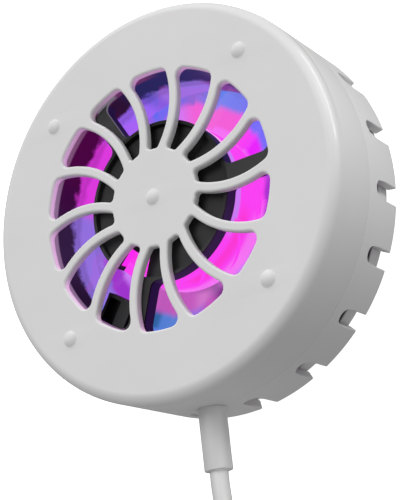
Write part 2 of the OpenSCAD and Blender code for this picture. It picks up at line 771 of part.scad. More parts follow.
// Plan of one arm from the disc to the duct, with rounded roots
module arm_plan() {
    y = arm_w / 2 + arm_fillet_r;
    x_in = sqrt(pow(motor_r + arm_fillet_r, 2) - y * y);
    x_out = sqrt(pow(duct_r - arm_fillet_r, 2) - y * y);
    stretch = (duct_r + duct_wall / 2) / (duct_r - arm_fillet_r);
    difference() {
        polygon([[0, 0], [x_in, y], [x_out, y], [x_out * stretch, y * stretch],
            [x_out * stretch, -y * stretch], [x_out, -y], [x_in, -y]]);
        for (side = [-1, 1]) {
            translate([x_in, side * y]) circle(r = arm_fillet_r);
            translate([x_out, side * y]) circle(r = arm_fillet_r);
            translate([x_in, side > 0 ? arm_w / 2 : -arm_w / 2 - 2 * arm_fillet_r])
                square([x_out - x_in, 2 * arm_fillet_r]);
        }
    }
}

module fan_frame() {
    color("black") difference() {
        union() {
            ring(duct_out_r, duct_r, light_z1, under_z);
            post(motor_r, disc_z0, disc_z1);
            post(tube_r, tube_z0, disc_z0 + cut);
            intersection() {
                post(duct_r + duct_wall / 2, disc_z0 - free_gap, disc_z1);
                union() {
                    translate([0, 0, disc_z0]) linear_extrude(motor_disc_t)
                        for (a = arm_turns) rotate([0, 0, a]) arm_plan();
                    rotate([0, 0, wire_block_turn])
                        translate([wire_block_r, -wire_block_w / 2, disc_z0 - free_gap])
                            cube([duct_out_r, wire_block_w, wire_block_z1 - disc_z0 + free_gap]);
                }
            }
        }
        post(label_seat_r, label_z0, disc_z1 + cut);
        rotate([0, 0, wire_block_turn])
            translate([wire_block_r + wire_pocket_rim, wire_pocket_rim - wire_block_w / 2,
                wire_block_z1 - wire_pocket_h])
                cube([wire_block_len - wire_pocket_rim, wire_pocket_w, wire_pocket_h + cut]);
        post(bearing_r + fit_gap, tube_z0 - cut, tube_bore_z1);
        translate([0, 0, disc_z0 - cut]) linear_extrude(motor_disc_t + 2 * cut) wire_notch_plan();
        rotate([0, 0, cable_arm_turn])
            translate([stator_board_r - wire_groove_tuck, -wire_groove_w / 2, disc_z0 - cut])
                cube([duct_out_r, wire_groove_w, wire_groove_h + cut]);
    }
}

// Notch in the motor's disc where its wires come out
module wire_notch_plan() {
    difference() {
        intersection() {
            sector(wire_notch_turns[0], wire_notch_turns[1], motor_r);
            circle(r = motor_r + cut);
        }
        circle(r = wire_notch_r);
    }
}

module hub_label() {
    color("dimgray") translate([0, 0, label_z0]) linear_extrude(label_t) difference() {
        circle(r = label_r);
        wire_notch_plan();
    }
}

module sleeve_bearing() {
    color("goldenrod") ring(bearing_r, shaft_r + shaft_gap, bearing_z0, bearing_z1);
}

module stator_core() {
    pole_step = 360 / pole_count;
    color("lightslategray") translate([0, 0, stator_z0]) linear_extrude(stator_z1 - stator_z0) difference() {
        union() {
            circle(r = stator_ring_r);
            for (k = [0 : pole_count - 1]) rotate([0, 0, k * pole_step]) {
                translate([0, -pole_w / 2]) square([stator_r - pole_shoe_t / 2, pole_w]);
                intersection() {
                    sector(-pole_shoe_deg / 2, pole_shoe_deg / 2, stator_r);
                    difference() {
                        circle(r = stator_r);
                        circle(r = stator_r - pole_shoe_t);
                    }
                }
            }
        }
        circle(r = tube_r + fit_gap);
    }
}

module stator_coils() {
    winding_x0 = stator_ring_r + winding_gap;
    inner_w = pole_w + 2 * fit_gap;
    winding_x1 = sqrt(pow(stator_r - pole_shoe_t, 2) - pow(inner_w / 2 + winding_t, 2)) - slip_gap;
    inner_h = stator_z1 - stator_z0 + 2 * fit_gap;
    color("peru") for (k = [0 : pole_count - 1]) rotate([0, 0, k * 360 / pole_count])
        translate([winding_x0, 0, (stator_z0 + stator_z1) / 2]) rotate([90, 0, 90])
            linear_extrude(winding_x1 - winding_x0) difference() {
                square([inner_w + 2 * winding_t, inner_h + 2 * coil_over], center = true);
                square([inner_w, inner_h], center = true);
            }
}

module stator_board() {
    color("darkgreen") ring(stator_board_r, tube_r + fit_gap, disc_z0 - stator_board_t, disc_z0);
}

module hub_lamps() {
    color("white") for (k = [0 : pole_count - 1]) rotate([0, 0, (k + 0.5) * 360 / pole_count])
        translate([stator_board_r - hub_lamp_w, -hub_lamp_len / 2, hub_lamp_z1 - hub_lamp_h])
            cube([hub_lamp_w, hub_lamp_len, hub_lamp_h]);
}

module fan_wires() {
    color("black") rotate([0, 0, cable_arm_turn])
    for (side = [-0.5, 0.5]) translate([0, side * fan_wire_pitch, 0]) {
        translate([stator_board_r - fan_wire_tuck, 0, fan_wire_z]) rotate([0, 90, 0])
            cylinder(r = fan_wire_r, h = fan_wire_end_r - stator_board_r + fan_wire_tuck, $fn = 48);
        translate([fan_wire_end_r, 0, fan_wire_z]) sphere(r = fan_wire_r, $fn = 48);
        translate([fan_wire_end_r, 0, 0]) post(fan_wire_r, board_z1, fan_wire_z, $fn = 48);
    }
}

// A blade is a strip of a tube whose axis points outwards, so it is hollow on one side
module blade() {
    intersection() {
        translate([blade_root_r, -blade_span / 2, blade_z0])
            cube([tip_r - blade_root_r + cut, blade_span, blade_z1 - blade_z0]);
        translate([0, 0, (blade_z0 + blade_z1) / 2]) rotate([blade_slope, 0, 0])
            translate([0, 0, blade_camber_r]) rotate([0, 90, 0]) difference() {
                cylinder(r = blade_camber_r + blade_t / 2, h = tip_r + 2 * cut);
                translate([0, 0, -cut]) cylinder(r = blade_camber_r - blade_t / 2, h = tip_r + 4 * cut);
            }
        post(tip_r, blade_z0 - cut, blade_z1 + cut);
    }
}

module impeller() {
    color("magenta", 0.6) {
        difference() {
            union() {
                post(motor_r, impeller_z0, impeller_z1);
                for (k = [0 : blade_count - 1]) rotate([0, 0, k * 360 / blade_count]) blade();
            }
            ring(hub_in_r, hub_boss_r, hub_floor_z1, impeller_z1 + cut);
            post(hub_boss_r + cut, hub_boss_z1, impeller_z1 + cut);
            post(shaft_r + fit_gap / 2, impeller_z0 + shaft_seat, impeller_z1);
        }
    }
}

module rotor_cup() {
    color("silver") difference() {
        post(cup_r, hub_floor_z1, cup_z1);
        post(cup_r - cup_t, cup_floor_z1, cup_z1 + cut);
        post(hub_boss_r + fit_gap, hub_floor_z1 - cut, cup_floor_z1 + cut);
    }
}

module rotor_magnet() {
    color("dimgray") ring(rotor_magnet_r, rotor_magnet_r - rotor_magnet_t, cup_floor_z1, rotor_magnet_z1);
}

module fan_shaft() {
    color("lightgray") post(shaft_r, impeller_z0 + shaft_seat, clip_z0 + clip_t + slip_gap);
}

module shaft_clip() {
    color("ivory") ring(clip_r, shaft_r + fit_gap / 2, clip_z0, clip_z0 + clip_t);
}

module cord_boot() {
    color("lightgray") difference() {
        union() {
            bar_y(boot_r, boot_end_y + boot_edge, -body_r, 0, cord_z);
            translate([0, boot_end_y, cord_z]) rotate([-90, 0, 0])
                cylinder(r1 = boot_r - boot_edge, r2 = boot_r, h = boot_edge);
            bar_y(boot_neck_r, -(body_r + cut), boot_flange_y + slip_gap, 0, cord_z);
            bar_y(boot_flange_r, boot_flange_y, boot_flange_y + boot_flange_t, 0, cord_z);
        }
        bar_y(cord_r + fit_gap, boot_end_y - cut, 0, 0, cord_z);
    }
}

module cord_inner() {
    color("gainsboro") bar_y(cord_r, boot_end_y, cord_inner_y, 0, cord_z);
}

module power_wires() {
    color("crimson") for (x = [-power_wire_x, power_wire_x])
        bar_y(power_wire_r, cord_inner_y, cord_inner_y + power_wire_len, x,
            board_z1 + power_wire_r + power_wire_lift);
}

module cord_lead() {
    color("gainsboro") tube(lead_route, cord_r, cord_sides, 180 / cord_sides);
}

module cord_coil() {
    color("gainsboro") tube(coil_route, cord_r, loop_sides, 0);
}

module cord_tail() {
    color("gainsboro") tube(tail_route, cord_r, cord_sides, 180 / cord_sides);
}

module cord_tie() {
    bundle_w = coil_out_r - coil_in_r + cord_d + 2 * tie_slack;
    bundle_h = coil_top_z - coil_z + cord_d + free_gap + tie_top_gap;
    color("dimgray") translate([coil_x - coil_mid_r, coil_y + tie_w / 2, tie_t + bundle_h / 2])
        rotate([90, 0, 0]) linear_extrude(tie_w) difference() {
            rounded_rectangle(bundle_w + 2 * tie_t, bundle_h + 2 * tie_t, tie_corner_r + tie_t);
            rounded_rectangle(bundle_w, bundle_h, tie_corner_r);
        }
}

module plug_housing() {
    color("gainsboro") {
        translate([plug_x, plug_body_y, plug_z]) rotate([90, 0, 0])
            linear_extrude(plug_body_len) rounded_rectangle(plug_w, plug_h, plug_corner_r);
        translate([plug_x, plug_body_y - cut, plug_z]) rotate([-90, 0, 0])
            cylinder(r1 = relief_r, r2 = relief_tip_r, h = relief_len + cut);
    }
}

module plug_shell() {
    color("silver") translate([plug_x, plug_face_y, plug_z]) difference() {
        rotate([90, 0, 0]) linear_extrude(shell_len) difference() {
            square([shell_w, shell_h], center = true);
            square([shell_w - 2 * shell_t, shell_h - 2 * shell_t], center = true);
        }
        for (side = [-1, 1])
            translate([side * window_x - window_w / 2, -window_y - window_w / 2, -plug_h])
                cube([window_w, window_w, 2 * plug_h]);
    }
}

module plug_insulator() {
    insulator_w = shell_w - 2 * (shell_t + slip_gap);
    insulator_z0 = shell_h / 2 - shell_t - insulator_h - slip_gap;
    color("white") translate([plug_x, plug_face_y, plug_z])
        translate([-insulator_w / 2, -insulator_len, insulator_z0])
            cube([insulator_w, insulator_len, insulator_h]);
}

module plug_contacts() {
    contact_z1 = plug_z + shell_h / 2 - shell_t - insulator_h - slip_gap;
    color("gold") for (k = [-1.5 : 1 : 1.5])
        translate([plug_x + k * contact_pitch - contact_w / 2, plug_face_y - insulator_len + contact_inset,
            contact_z1 - contact_t]) cube([contact_w, insulator_len - contact_inset, contact_t]);
}

front_cover();
rear_shell();
base_plate();
contact_pad();
ring_magnets();
magnet_yoke();
cold_plate();
tec_cold_ceramic();
tec_pellets();
tec_hot_ceramic();
tec_gasket();
tec_wires();
heat_sink();
heat_sink_screws();
case_screws();
main_board();
board_components();
ring_lamps();
light_ring();
fan_frame();
hub_label();
sleeve_bearing();
stator_core();
stator_coils();
stator_board();
hub_lamps();
fan_wires();
impeller();
rotor_cup();
rotor_magnet();
fan_shaft();
shaft_clip();
cord_boot();
cord_inner();
power_wires();
cord_lead();
cord_coil();
cord_tail();
cord_tie();
plug_housing();
plug_shell();
plug_insulator();
plug_contacts();
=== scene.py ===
import json
import math

import bmesh
import bpy
from mathutils import Matrix, Vector
from mathutils.geometry import tessellate_polygon


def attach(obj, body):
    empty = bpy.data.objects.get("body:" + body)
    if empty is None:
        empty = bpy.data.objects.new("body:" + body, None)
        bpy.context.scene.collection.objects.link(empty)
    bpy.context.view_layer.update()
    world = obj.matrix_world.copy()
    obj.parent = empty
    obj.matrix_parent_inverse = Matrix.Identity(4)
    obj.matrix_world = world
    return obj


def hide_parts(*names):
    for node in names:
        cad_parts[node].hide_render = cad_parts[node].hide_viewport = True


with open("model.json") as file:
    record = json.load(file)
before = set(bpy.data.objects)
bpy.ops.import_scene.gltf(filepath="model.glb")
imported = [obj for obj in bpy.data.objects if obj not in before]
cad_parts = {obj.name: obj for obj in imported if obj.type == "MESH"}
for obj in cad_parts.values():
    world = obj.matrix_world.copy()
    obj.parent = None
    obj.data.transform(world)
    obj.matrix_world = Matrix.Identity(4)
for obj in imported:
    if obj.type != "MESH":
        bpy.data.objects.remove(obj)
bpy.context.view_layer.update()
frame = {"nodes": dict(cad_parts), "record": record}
nodes = frame["nodes"]
scene = bpy.context.scene
MM = 0.001

# Sizes and counts shared with the CAD source, in millimetres and degrees
BODY_R = 30.0
WALL_R = 28.6
FACE_Z = 18.2
UNDER_Z = 17.0
SEAM_Z = 8.75
REAR_Z = 0.45
EDGE_R = 1.7
DOME_R = 1.2
DOME_H = 0.45
DOME_RING_R = 24.2
CORNER_TURNS = [math.radians(turn) for turn in (45, 135, 225, 315)]
CORNERS = [(DOME_RING_R * math.cos(a), DOME_RING_R * math.sin(a)) for a in CORNER_TURNS]
SLOTS = 14
SLOT_IN_R = 7.45
SLOT_OUT_R = 19.65
SLOT_CORNER_OUT = 1.2
SLOT_CORNER_IN = 0.6
RIB_W = 1.45
RIB_ARC_R = 14.4
RIB_TRUE_R = 11.45
RIB_TURN = 16.4
NOTCHES = 20
NOTCH_W = 2.5
NOTCH_TOP_Z = 6.45
NOTCH_SPRING_Z = NOTCH_TOP_Z - NOTCH_W / 2
CORD_D = 2.7
CORD_Z = 8.75
BOOT_R = 2.05
BOOT_END_Y = -38.9
COIL_TURNS = 12.75
COIL_LAYERS = 4
COIL_GAP = 0.5
COIL_LEAVE_Y = -53.5
TIE_T = 0.5
TIE_W = 4.0
TIE_SLACK = 0.5
TIE_CORNER_R = 2.0
TIE_TOP_GAP = 0.2
FREE_GAP = 0.3
COIL_PITCH = CORD_D + COIL_GAP
COIL_MID_R = 5.5 * CORD_D
LAYER_TURNS = COIL_TURNS / COIL_LAYERS
COIL_OUT_R = COIL_MID_R + LAYER_TURNS * COIL_PITCH / 2
COIL_IN_R = COIL_OUT_R - LAYER_TURNS * COIL_PITCH
COIL_X = -COIL_OUT_R
COIL_Y = COIL_LEAVE_Y - COIL_OUT_R
COIL_Z = TIE_T + FREE_GAP + CORD_D / 2
COIL_TOP_Z = COIL_Z + (COIL_LAYERS - 1) * COIL_PITCH

# Sizes of the ledge, the posts, the contact face and the boot's inner end, in millimetres
LEDGE_IN_R = 19.9
LEDGE_Z = 6.6
LEDGE_TOP_Z = 7.4
LIP_IN_R = 27.7
LIP_OUT_R = 28.5
LIP_TOP_Z = 10.25
POST_R = 2.3
POST_BORE_R = 1.15
PLATE_R = 28.45
PLATE_Z = 0.4
PLATE_TOP_Z = 3.05
PLATE_HOLE_R = 19.1
PLATE_SINK_R = 15.7
GROOVE_IN_R = 19.7
GROOVE_OUT_R = 28.05
GROOVE_TOP_Z = 0.8
PAD_IN_R = 19.8
PAD_OUT_R = 27.95
COLD_R = 19.0
COLD_TOP_Z = 1.6
BOOT_START_Y = -28.0

# Finish of the edges, in millimetres and degrees, and the seam's share of the shell's bevel
SLOT_EDGE = 0.36
SLOT_UNDER_EDGE = 0.1
SHELL_BEVEL = 0.2
SEAM_SHARE = 0.2
SHARP_ANGLE = 40
BEVEL_ANGLE = 35
FLAT_ANGLE = 0.5


# Camera
def make_camera():
    right = Vector((0.818000, -0.106505, -0.565272))
    up = Vector((0.269573, 0.939092, 0.213159))
    back = Vector((0.508139, -0.326746, 0.796889))
    place = Vector((96.9407, -67.9731, 159.2210)) * MM
    data = bpy.data.cameras.new("camera")
    data.lens, data.sensor_width = 91.94, 36
    data.clip_start, data.clip_end = 0.01, 20
    camera = bpy.data.objects.new("camera", data)
    scene.collection.objects.link(camera)
    turn = Matrix((right, up, back)).transposed().to_4x4()
    camera.matrix_world = Matrix.Translation(place) @ turn
    scene.camera = camera


make_camera()


# Mesh helpers
class Builder:
    """Collects loops of points, in millimetres, and the faces between them."""

    def __init__(self):
        self.points, self.faces = [], []

    def loop(self, points):
        start = len(self.points)
        self.points.extend(points)
        return list(range(start, len(self.points)))

    def bridge(self, a, b):
        n = len(a)
        for i in range(n):
            j = (i + 1) % n
            self.faces.append((a[i], a[j], b[j], b[i]))

    def stack(self, loops):
        made = [self.loop(p) for p in loops]
        for a, b in zip(made, made[1:]):
            self.bridge(a, b)
        return made

    def tube(self, loops):
        """A stack whose last loop joins its first."""
        made = self.stack(loops)
        self.bridge(made[-1], made[0])

    def fill(self, loops):
        order = [i for one in loops for i in one]
        flat = [[Vector(self.points[i]) for i in one] for one in loops]
        for tri in tessellate_polygon(flat):
            self.faces.append(tuple(order[i] for i in tri))

    def cap(self, loop, point):
        tip = self.loop([point])[0]
        n = len(loop)
        for i in range(n):
            self.faces.append((loop[i], loop[(i + 1) % n], tip))

    def piece(self, name, slot, replaced, material=None):
        mesh = bpy.data.meshes.new(name)
        mesh.from_pydata([Vector(p) * MM for p in self.points], [], self.faces)
        bm = bmesh.new()
        bm.from_mesh(mesh)
        bmesh.ops.remove_doubles(bm, verts=bm.verts, dist=1e-7)
        bmesh.ops.recalc_face_normals(bm, faces=bm.faces)
        bm.to_mesh(mesh)
        bm.free()
        for p in mesh.polygons:
            p.use_smooth = True
        mesh.set_sharp_from_angle(angle=math.radians(SHARP_ANGLE))
        obj = bpy.data.objects.new(name, mesh)
        scene.collection.objects.link(obj)
        dress(obj, slot, replaced, material)
        return obj


class WallBuilder(Builder):
    """A builder for a wall round the axis, whose faces share their corner points."""

    def __init__(self):
        super().__init__()
        self.index = {}

    def at(self, r, angle, z):
        key = (round(r, 5), round(angle % (2 * math.pi), 7), round(z, 5))
        if key not in self.index:
            self.index[key] = len(self.points)
            self.points.append((r * math.cos(angle), r * math.sin(angle), z))
        return self.index[key]

    def quad(self, corners, flip=False):
        made = tuple(self.at(*corner) for corner in corners)
        self.faces.append(made[::-1] if flip else made)

    def across(self, p0, p1, q0, q1):
        """A face through the wall, between two points on its outside and two on its inside."""
        self.quad([(BODY_R, *p0), (BODY_R, *p1), (WALL_R, *q1), (WALL_R, *q0)])


def dress(obj, slot, replaced, material=None):
    """Gives a piece its slot's finish, or a finish of its own, puts it on the housing and hides the nodes it
    stands for.
    """
    obj.data.materials.clear()
    obj.data.materials.append(material or finishes[slot])
    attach(obj, "housing")
    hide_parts(*replaced)


def bevel(obj, width, segments):
    cut = obj.modifiers.new("edges", "BEVEL")
    cut.width, cut.segments = width * MM, segments
    cut.limit_method, cut.angle_limit = "ANGLE", math.radians(BEVEL_ANGLE)
    cut.harden_normals = False
    cut.use_clamp_overlap = True
    weigh = obj.modifiers.new("normals", "WEIGHTED_NORMAL")
    weigh.keep_sharp = True


def directions(n):
    return [2 * math.pi * k / n for k in range(n)]


def circle(r, z, n, x=0.0, y=0.0):
    return [(x + r * math.cos(a), y + r * math.sin(a), z) for a in directions(n)]


def circle_on_y(r, y, n, z):
    return [(r * math.cos(a), y, z + r * math.sin(a)) for a in directions(n)]


def quarter(size, steps):
    """Steps round a quarter circle: how far in and how far down each one lies."""
    turns = [math.pi / 2 * i / steps for i in range(steps + 1)]
    return [(size * (1 - math.sin(a)), size * (1 - math.cos(a))) for a in turns]


def round_corner(a, corner, b, r, steps):
    """Points of a rounding of size r at a corner of a profile, from the side of a to the side of b."""
    a, c, b = Vector(a), Vector(corner), Vector(b)
    p, q = c + (a - c).normalized() * r, c + (b - c).normalized() * r
    made = []
    for i in range(steps + 1):
        t = i / steps
        made.append(tuple((1 - t) ** 2 * p + 2 * t * (1 - t) * c + t * t * q))
    return made


def rounded_profile(corners, steps=4):
    """A closed profile of (r, z, rounding) corners as (r, z) points."""
    made = []
    n = len(corners)
    for i, (x, z, r) in enumerate(corners):
        a, b = corners[i - 1][:2], corners[(i + 1) % n][:2]
        made.extend(round_corner(a, (x, z), b, r, steps) if r else [(x, z)])
    return made


def lathe(builder, profile, n):
    builder.tube([circle(r, z, n) for r, z in profile])


# Materials: the depth of the grain, in metres, and the part of a noise's range that counts
GRAIN_DEPTH = 0.00002
NOISE_LOW = 0.3
NOISE_HIGH = 0.7


class Nodes:
    """A material's nodes, with its shader at hand."""

    def __init__(self, name):
        self.material = bpy.data.materials.new(name)
        self.material.use_nodes = True
        self.tree = self.material.node_tree
        self.shader = self.tree.nodes["Principled BSDF"]

    def add(self, kind, **values):
        node = self.tree.nodes.new(kind)
        for key, value in values.items():
            setattr(node, key, value)
        return node

    def link(self, a, b):
        self.tree.links.new(a, b)

    def set(self, **values):
        """Values that are the same all over, on the shader's own sockets."""
        for key, value in values.items():
            self.shader.inputs[key.replace("_", " ")].default_value = value

    def drive(self, **sockets):
        """Values that vary over the surface, linked to the shader."""
        for key, socket in sockets.items():
            self.link(socket, self.shader.inputs[key.replace("_", " ")])

    def place(self, kind="Object"):
        return self.add("ShaderNodeTexCoord").outputs[kind]

    def noise(self, scale, detail=3.0, rough=0.5):
        node = self.add("ShaderNodeTexNoise")
        node.inputs["Scale"].default_value = scale
        node.inputs["Detail"].default_value = detail
        node.inputs["Roughness"].default_value = rough
        self.link(self.place(), node.inputs["Vector"])
        return node.outputs["Fac"]

    def math(self, operation, a, b=None):
        node = self.add("ShaderNodeMath", operation=operation)
        for socket, value in zip(node.inputs, (a, b)):
            if value is None:
                continue
            if isinstance(value, (int, float)):
                socket.default_value = value
            else:
                self.link(value, socket)
        return node.outputs[0]

    def chain(self, operation, first, *others):
        made = first
        for other in others:
            made = self.math(operation, made, other)
        return made

    def times(self, *values):
        return self.chain("MULTIPLY", *values)

    def plus(self, *values):
        return self.chain("ADD", *values)

    def most(self, *values):
        return self.chain("MAXIMUM", *values)

    def minus(self, a, b):
        return self.math("SUBTRACT", a, b)

    def spread(self, value, low, high, from_low=0.0, from_high=1.0, smooth=False):
        node = self.add("ShaderNodeMapRange", clamp=True)
        if smooth:
            node.interpolation_type = "SMOOTHSTEP"
        for i, x in enumerate((from_low, from_high, low, high), start=1):
            node.inputs[i].default_value = x
        self.link(value, node.inputs[0])
        return node.outputs[0]

    def fade(self, value, low, high, edge, smooth=False):
        """From low to high over a soft edge, which is given in millimetres."""
        return self.spread(value, low, high, edge[0] * MM, edge[1] * MM, smooth)

    def rise(self, value, edge, smooth=False):
        return self.fade(value, 0, 1, edge, smooth)

    def fall(self, value, edge, smooth=False):
        return self.fade(value, 1, 0, edge, smooth)

    def ramp(self, value, stops, mode="LINEAR"):
        node = self.add("ShaderNodeValToRGB")
        ramp = node.color_ramp
        ramp.interpolation = mode
        while len(ramp.elements) < len(stops):
            ramp.elements.new(1.0)
        for element, (at, colour) in zip(ramp.elements, stops):
            element.position = at
            element.color = (*colour, 1)
        self.link(value, node.inputs[0])
        return node.outputs[0]

    def mottle(self, value, dark, light):
        """Two near colours in uneven patches."""
        return self.ramp(value, [(NOISE_LOW, dark), (NOISE_HIGH, light)])

    def mix(self, share, a, b):
        node = self.add("ShaderNodeMix", data_type="RGBA")
        for socket, value in ((node.inputs[0], share), (node.inputs[6], a), (node.inputs[7], b)):
            if isinstance(value, tuple):
                socket.default_value = (*value, 1)
            else:
                self.link(value, socket)
        return node.outputs[2]

    def bump(self, height, strength, depth):
        node = self.add("ShaderNodeBump")
        node.inputs["Strength"].default_value = strength
        node.inputs["Distance"].default_value = depth
        self.link(height, node.inputs["Height"])
        self.drive(Normal=node.outputs[0])

    def colour(self, socket):
        self.drive(Base_Color=socket)

    def rough(self, value, low, high):
        self.drive(Roughness=self.spread(value, low, high))

    def grain(self, fine, low, high, strength, depth=GRAIN_DEPTH):
        """Uneven gloss and fine bumps from one noise."""
        self.rough(fine, low, high)
        self.bump(fine, strength, depth)

    def axes(self, kind="Object"):
        split = self.add("ShaderNodeSeparateXYZ")
        self.link(self.place(kind), split.inputs[0])
        return split.outputs

    def facing(self):
        return self.axes("Normal")

    def radius(self, x, y):
        return self.math("SQRT", self.plus(self.times(x, x), self.times(y, y)))

    def turn(self, x, y):
        """Direction round the axis, from 0 at +X to 1."""
        share = self.math("DIVIDE", self.math("ARCTAN2", y, x), 2 * math.pi)
        return self.math("FRACT", self.plus(share, 1.0))

    def along(self, x, y, angle):
        """How far a place lies in a direction."""
        return self.plus(self.times(x, math.cos(angle)), self.times(y, math.sin(angle)))


def linear(*levels):
    """A colour given as screen values from 0 to 255, as the shader takes it."""
    shares = [level / 255 for level in levels]
    return tuple(s / 12.92 if s <= 10 / 255 else ((s + 0.055) / 1.055) ** 2.4 for s in shares)


def grey(level):
    return linear(level, level, level)


def scaled(colour, share):
    return tuple(min(1, c * share) for c in colour)


# Colours of the lamps' glow
AZURE = linear(98, 112, 250)
BLUE = linear(100, 130, 238)
SKY = linear(82, 126, 210)
TEAL = linear(36, 96, 156)
INDIGO = linear(113, 91, 215)
VIOLET = linear(142, 110, 218)
IRIS = linear(154, 100, 242)
PURPLE = linear(158, 50, 202)
GRAPE = linear(112, 44, 124)
ROSE = linear(152, 86, 160)
MAUVE = linear(190, 88, 184)
MAGENTA = linear(218, 56, 218)
FUCHSIA = linear(233, 28, 254)
HOT = linear(251, 66, 244)
CERISE = linear(253, 50, 190)
PINK = linear(243, 98, 212)
PALE_PINK = linear(246, 118, 245)
BLUSH = linear(252, 166, 244)
LAVENDER = linear(202, 124, 244)
ORCHID = linear(206, 122, 200)
NAVY = linear(32, 35, 88)
HAZE = linear(66, 53, 102)
PLUM = linear(70, 3, 62)
WINE = linear(54, 7, 57)
DUSK = linear(44, 26, 60)
UMBER = linear(38, 16, 46)
NIGHT = linear(14, 4, 23)
ARM_SIDE = linear(34, 17, 64)
# A painted highlight on one arm's upper edge
ARM_HIGHLIGHT = linear(112, 104, 118)
OPENING_PINK = linear(255, 34, 240)
METAL_PINK = linear(255, 40, 225)
DIM_LIP = linear(98, 46, 96)
PINK_LIP = linear(122, 75, 115)
PALE_LIP = linear(135, 104, 140)
WALL_PINK = linear(232, 170, 221)
WALL_PALE = linear(236, 212, 233)
WALL_GREY = linear(224, 224, 226)

# Where each colour lies, in degrees round the axis from +X
RING_GLOW = [(0, HOT), (25, VIOLET), (46, GRAPE), (64, GRAPE), (73, VIOLET), (93, VIOLET), (99, INDIGO),
             (107, IRIS), (123, IRIS), (133, MAGENTA), (160, MAGENTA), (169, VIOLET), (206, VIOLET),
             (225, BLUE), (244, BLUE), (258, PINK), (290, PINK), (310, HOT)]
FLOOR_INNER = [(0, HOT), (18, HOT), (32, FUCHSIA), (45, HOT), (58, PINK), (82, PINK), (96, LAVENDER),
               (108, IRIS), (130, MAGENTA), (165, MAGENTA), (180, VIOLET), (193, LAVENDER),
               (207, LAVENDER), (218, ROSE), (232, MAUVE), (258, MAUVE), (268, ORCHID), (280, ROSE),
               (292, PALE_PINK), (325, PALE_PINK), (345, HOT)]
FLOOR_OUTER = [(0, PURPLE), (8, PURPLE), (18, IRIS), (26, AZURE), (46, AZURE), (58, BLUE), (72, BLUE),
               (84, VIOLET), (96, AZURE), (105, AZURE), (113, IRIS), (135, MAGENTA), (165, MAGENTA),
               (180, VIOLET), (192, PURPLE), (214, PURPLE), (224, TEAL), (237, TEAL), (241, SKY),
               (252, SKY), (262, VIOLET), (272, MAUVE), (283, GRAPE), (300, LAVENDER), (345, PURPLE)]
HUB_FOOT_GLOW = [(0, HOT), (15, HOT), (40, PALE_PINK), (238, PALE_PINK), (250, MAUVE), (278, ROSE),
                 (295, PALE_PINK), (340, PALE_PINK)]
DUCT_GLOW = [(0, NIGHT), (30, NAVY), (52, HAZE), (66, NAVY), (98, NAVY), (110, UMBER), (126, PLUM),
             (145, PLUM), (162, WINE), (176, DUSK), (192, DUSK), (214, NIGHT), (300, NIGHT)]
LIP_GLOW = [(0, NIGHT), (50, HAZE), (64, NAVY), (82, NAVY), (93, DIM_LIP), (120, DIM_LIP),
            (135, PINK_LIP), (170, PALE_LIP), (230, PALE_LIP), (262, DIM_LIP), (300, NIGHT)]
HUB_RIM_GLOW = [(0, LAVENDER), (22, LAVENDER), (36, BLUSH), (64, BLUSH), (78, HOT), (316, HOT),
                (330, LAVENDER)]
# Radius where the floor's inner colour gives way to the outer one, in millimetres, by direction
FLOOR_EDGE = [(0, 12), (15, 13.2), (30, 14.7), (44, 15.5), (55, 17), (70, 17), (80, 17.9), (84, 18.3),
              (88, 19), (96, 19.3), (112, 17), (180, 15), (196, 15.6), (224, 15.8), (246, 15.7),
              (262, 14.6), (272, 13.5), (300, 11.5)]
# Strength of the glow on the slots' outer ends, by direction
END_GLOW = [(0, 0.25), (60, 0.16), (90, 0.17), (116, 0.10), (136, 0.23), (165, 0.30), (190, 0.36),
            (215, 0.42), (270, 0.30)]
END_GLOW_MOST = 0.5


def glow(m, turn, stops):
    """A colour by direction."""
    return m.ramp(turn, [(at / 360, c) for at, c in stops] + [(1.0, stops[0][1])], "EASE")


def amount(m, turn, stops, most):
    """A number by direction, from stops between 0 and most."""
    closed = stops + [(360, stops[0][1])]
    return m.times(m.ramp(turn, [(at / 360, (v / most,) * 3) for at, v in closed]), most)


def band(m, turn, low, high, soft=1.0):
    """1 between two directions in degrees, with soft edges, and 0 elsewhere."""
    return m.times(m.spread(turn, 0, 1, (low - soft) / 360, low / 360),
                   m.spread(turn, 1, 0, high / 360, (high + soft) / 360))


def plain(name, colour, rough, metal=0.0, vary=0.06, grain=4000, bump=0.15):
    """A moulded, cast or coated finish: slightly uneven colour, fine grain and uneven gloss."""
    m = Nodes(name)
    cloud, fine = m.noise(180, 4), m.noise(grain, 2)
    m.colour(m.mottle(cloud, scaled(colour, 1 - vary), scaled(colour, 1 + vary)))
    m.grain(fine, max(0, rough - 0.05), min(1, rough + 0.05), bump)
    m.set(Metallic=metal)
    return m.material


SHELL_GREY = grey(214)


def shell_material(name):
    m = Nodes(name)
    cloud, fine = m.noise(90, 3), m.noise(5200, 2)
    m.colour(m.mottle(cloud, scaled(SHELL_GREY, 0.985), scaled(SHELL_GREY, 1.012)))
    m.grain(fine, 0.50, 0.60, 0.12, GRAIN_DEPTH / 2)
    m.set(IOR=1.5, Specular_IOR_Level=0.25)
    return m


# Strength of the light on the ribs' sides, from the inner to the outer end of its soft edge
RIB_LIGHT = (0.022, 0.058)
# Soft edges of the light on the front cover, in millimetres
RIB_LIGHT_R = (11.2, 15.0)
SLOT_END_R = (18.4, 19.5)
SLOT_PAST_R = (19.75, 20.0)
UNDER_FACE_Z = (17.7, 18.2)
WALL_PALE_Z = (17.2, 18.1)
WALL_GREY_R = (10.8, 13.5)
SHINE_R = (28.0, 28.5)
SHINE_LOW_Z = (15.5, 16.6)
SHINE_HIGH_Z = (17.7, 18.0)
# Direction of the shine on the front edge, and the cosines between which it fades in
STRIP_TURN = math.radians(20)
STRIP_COSINE = (0.927, 0.974)


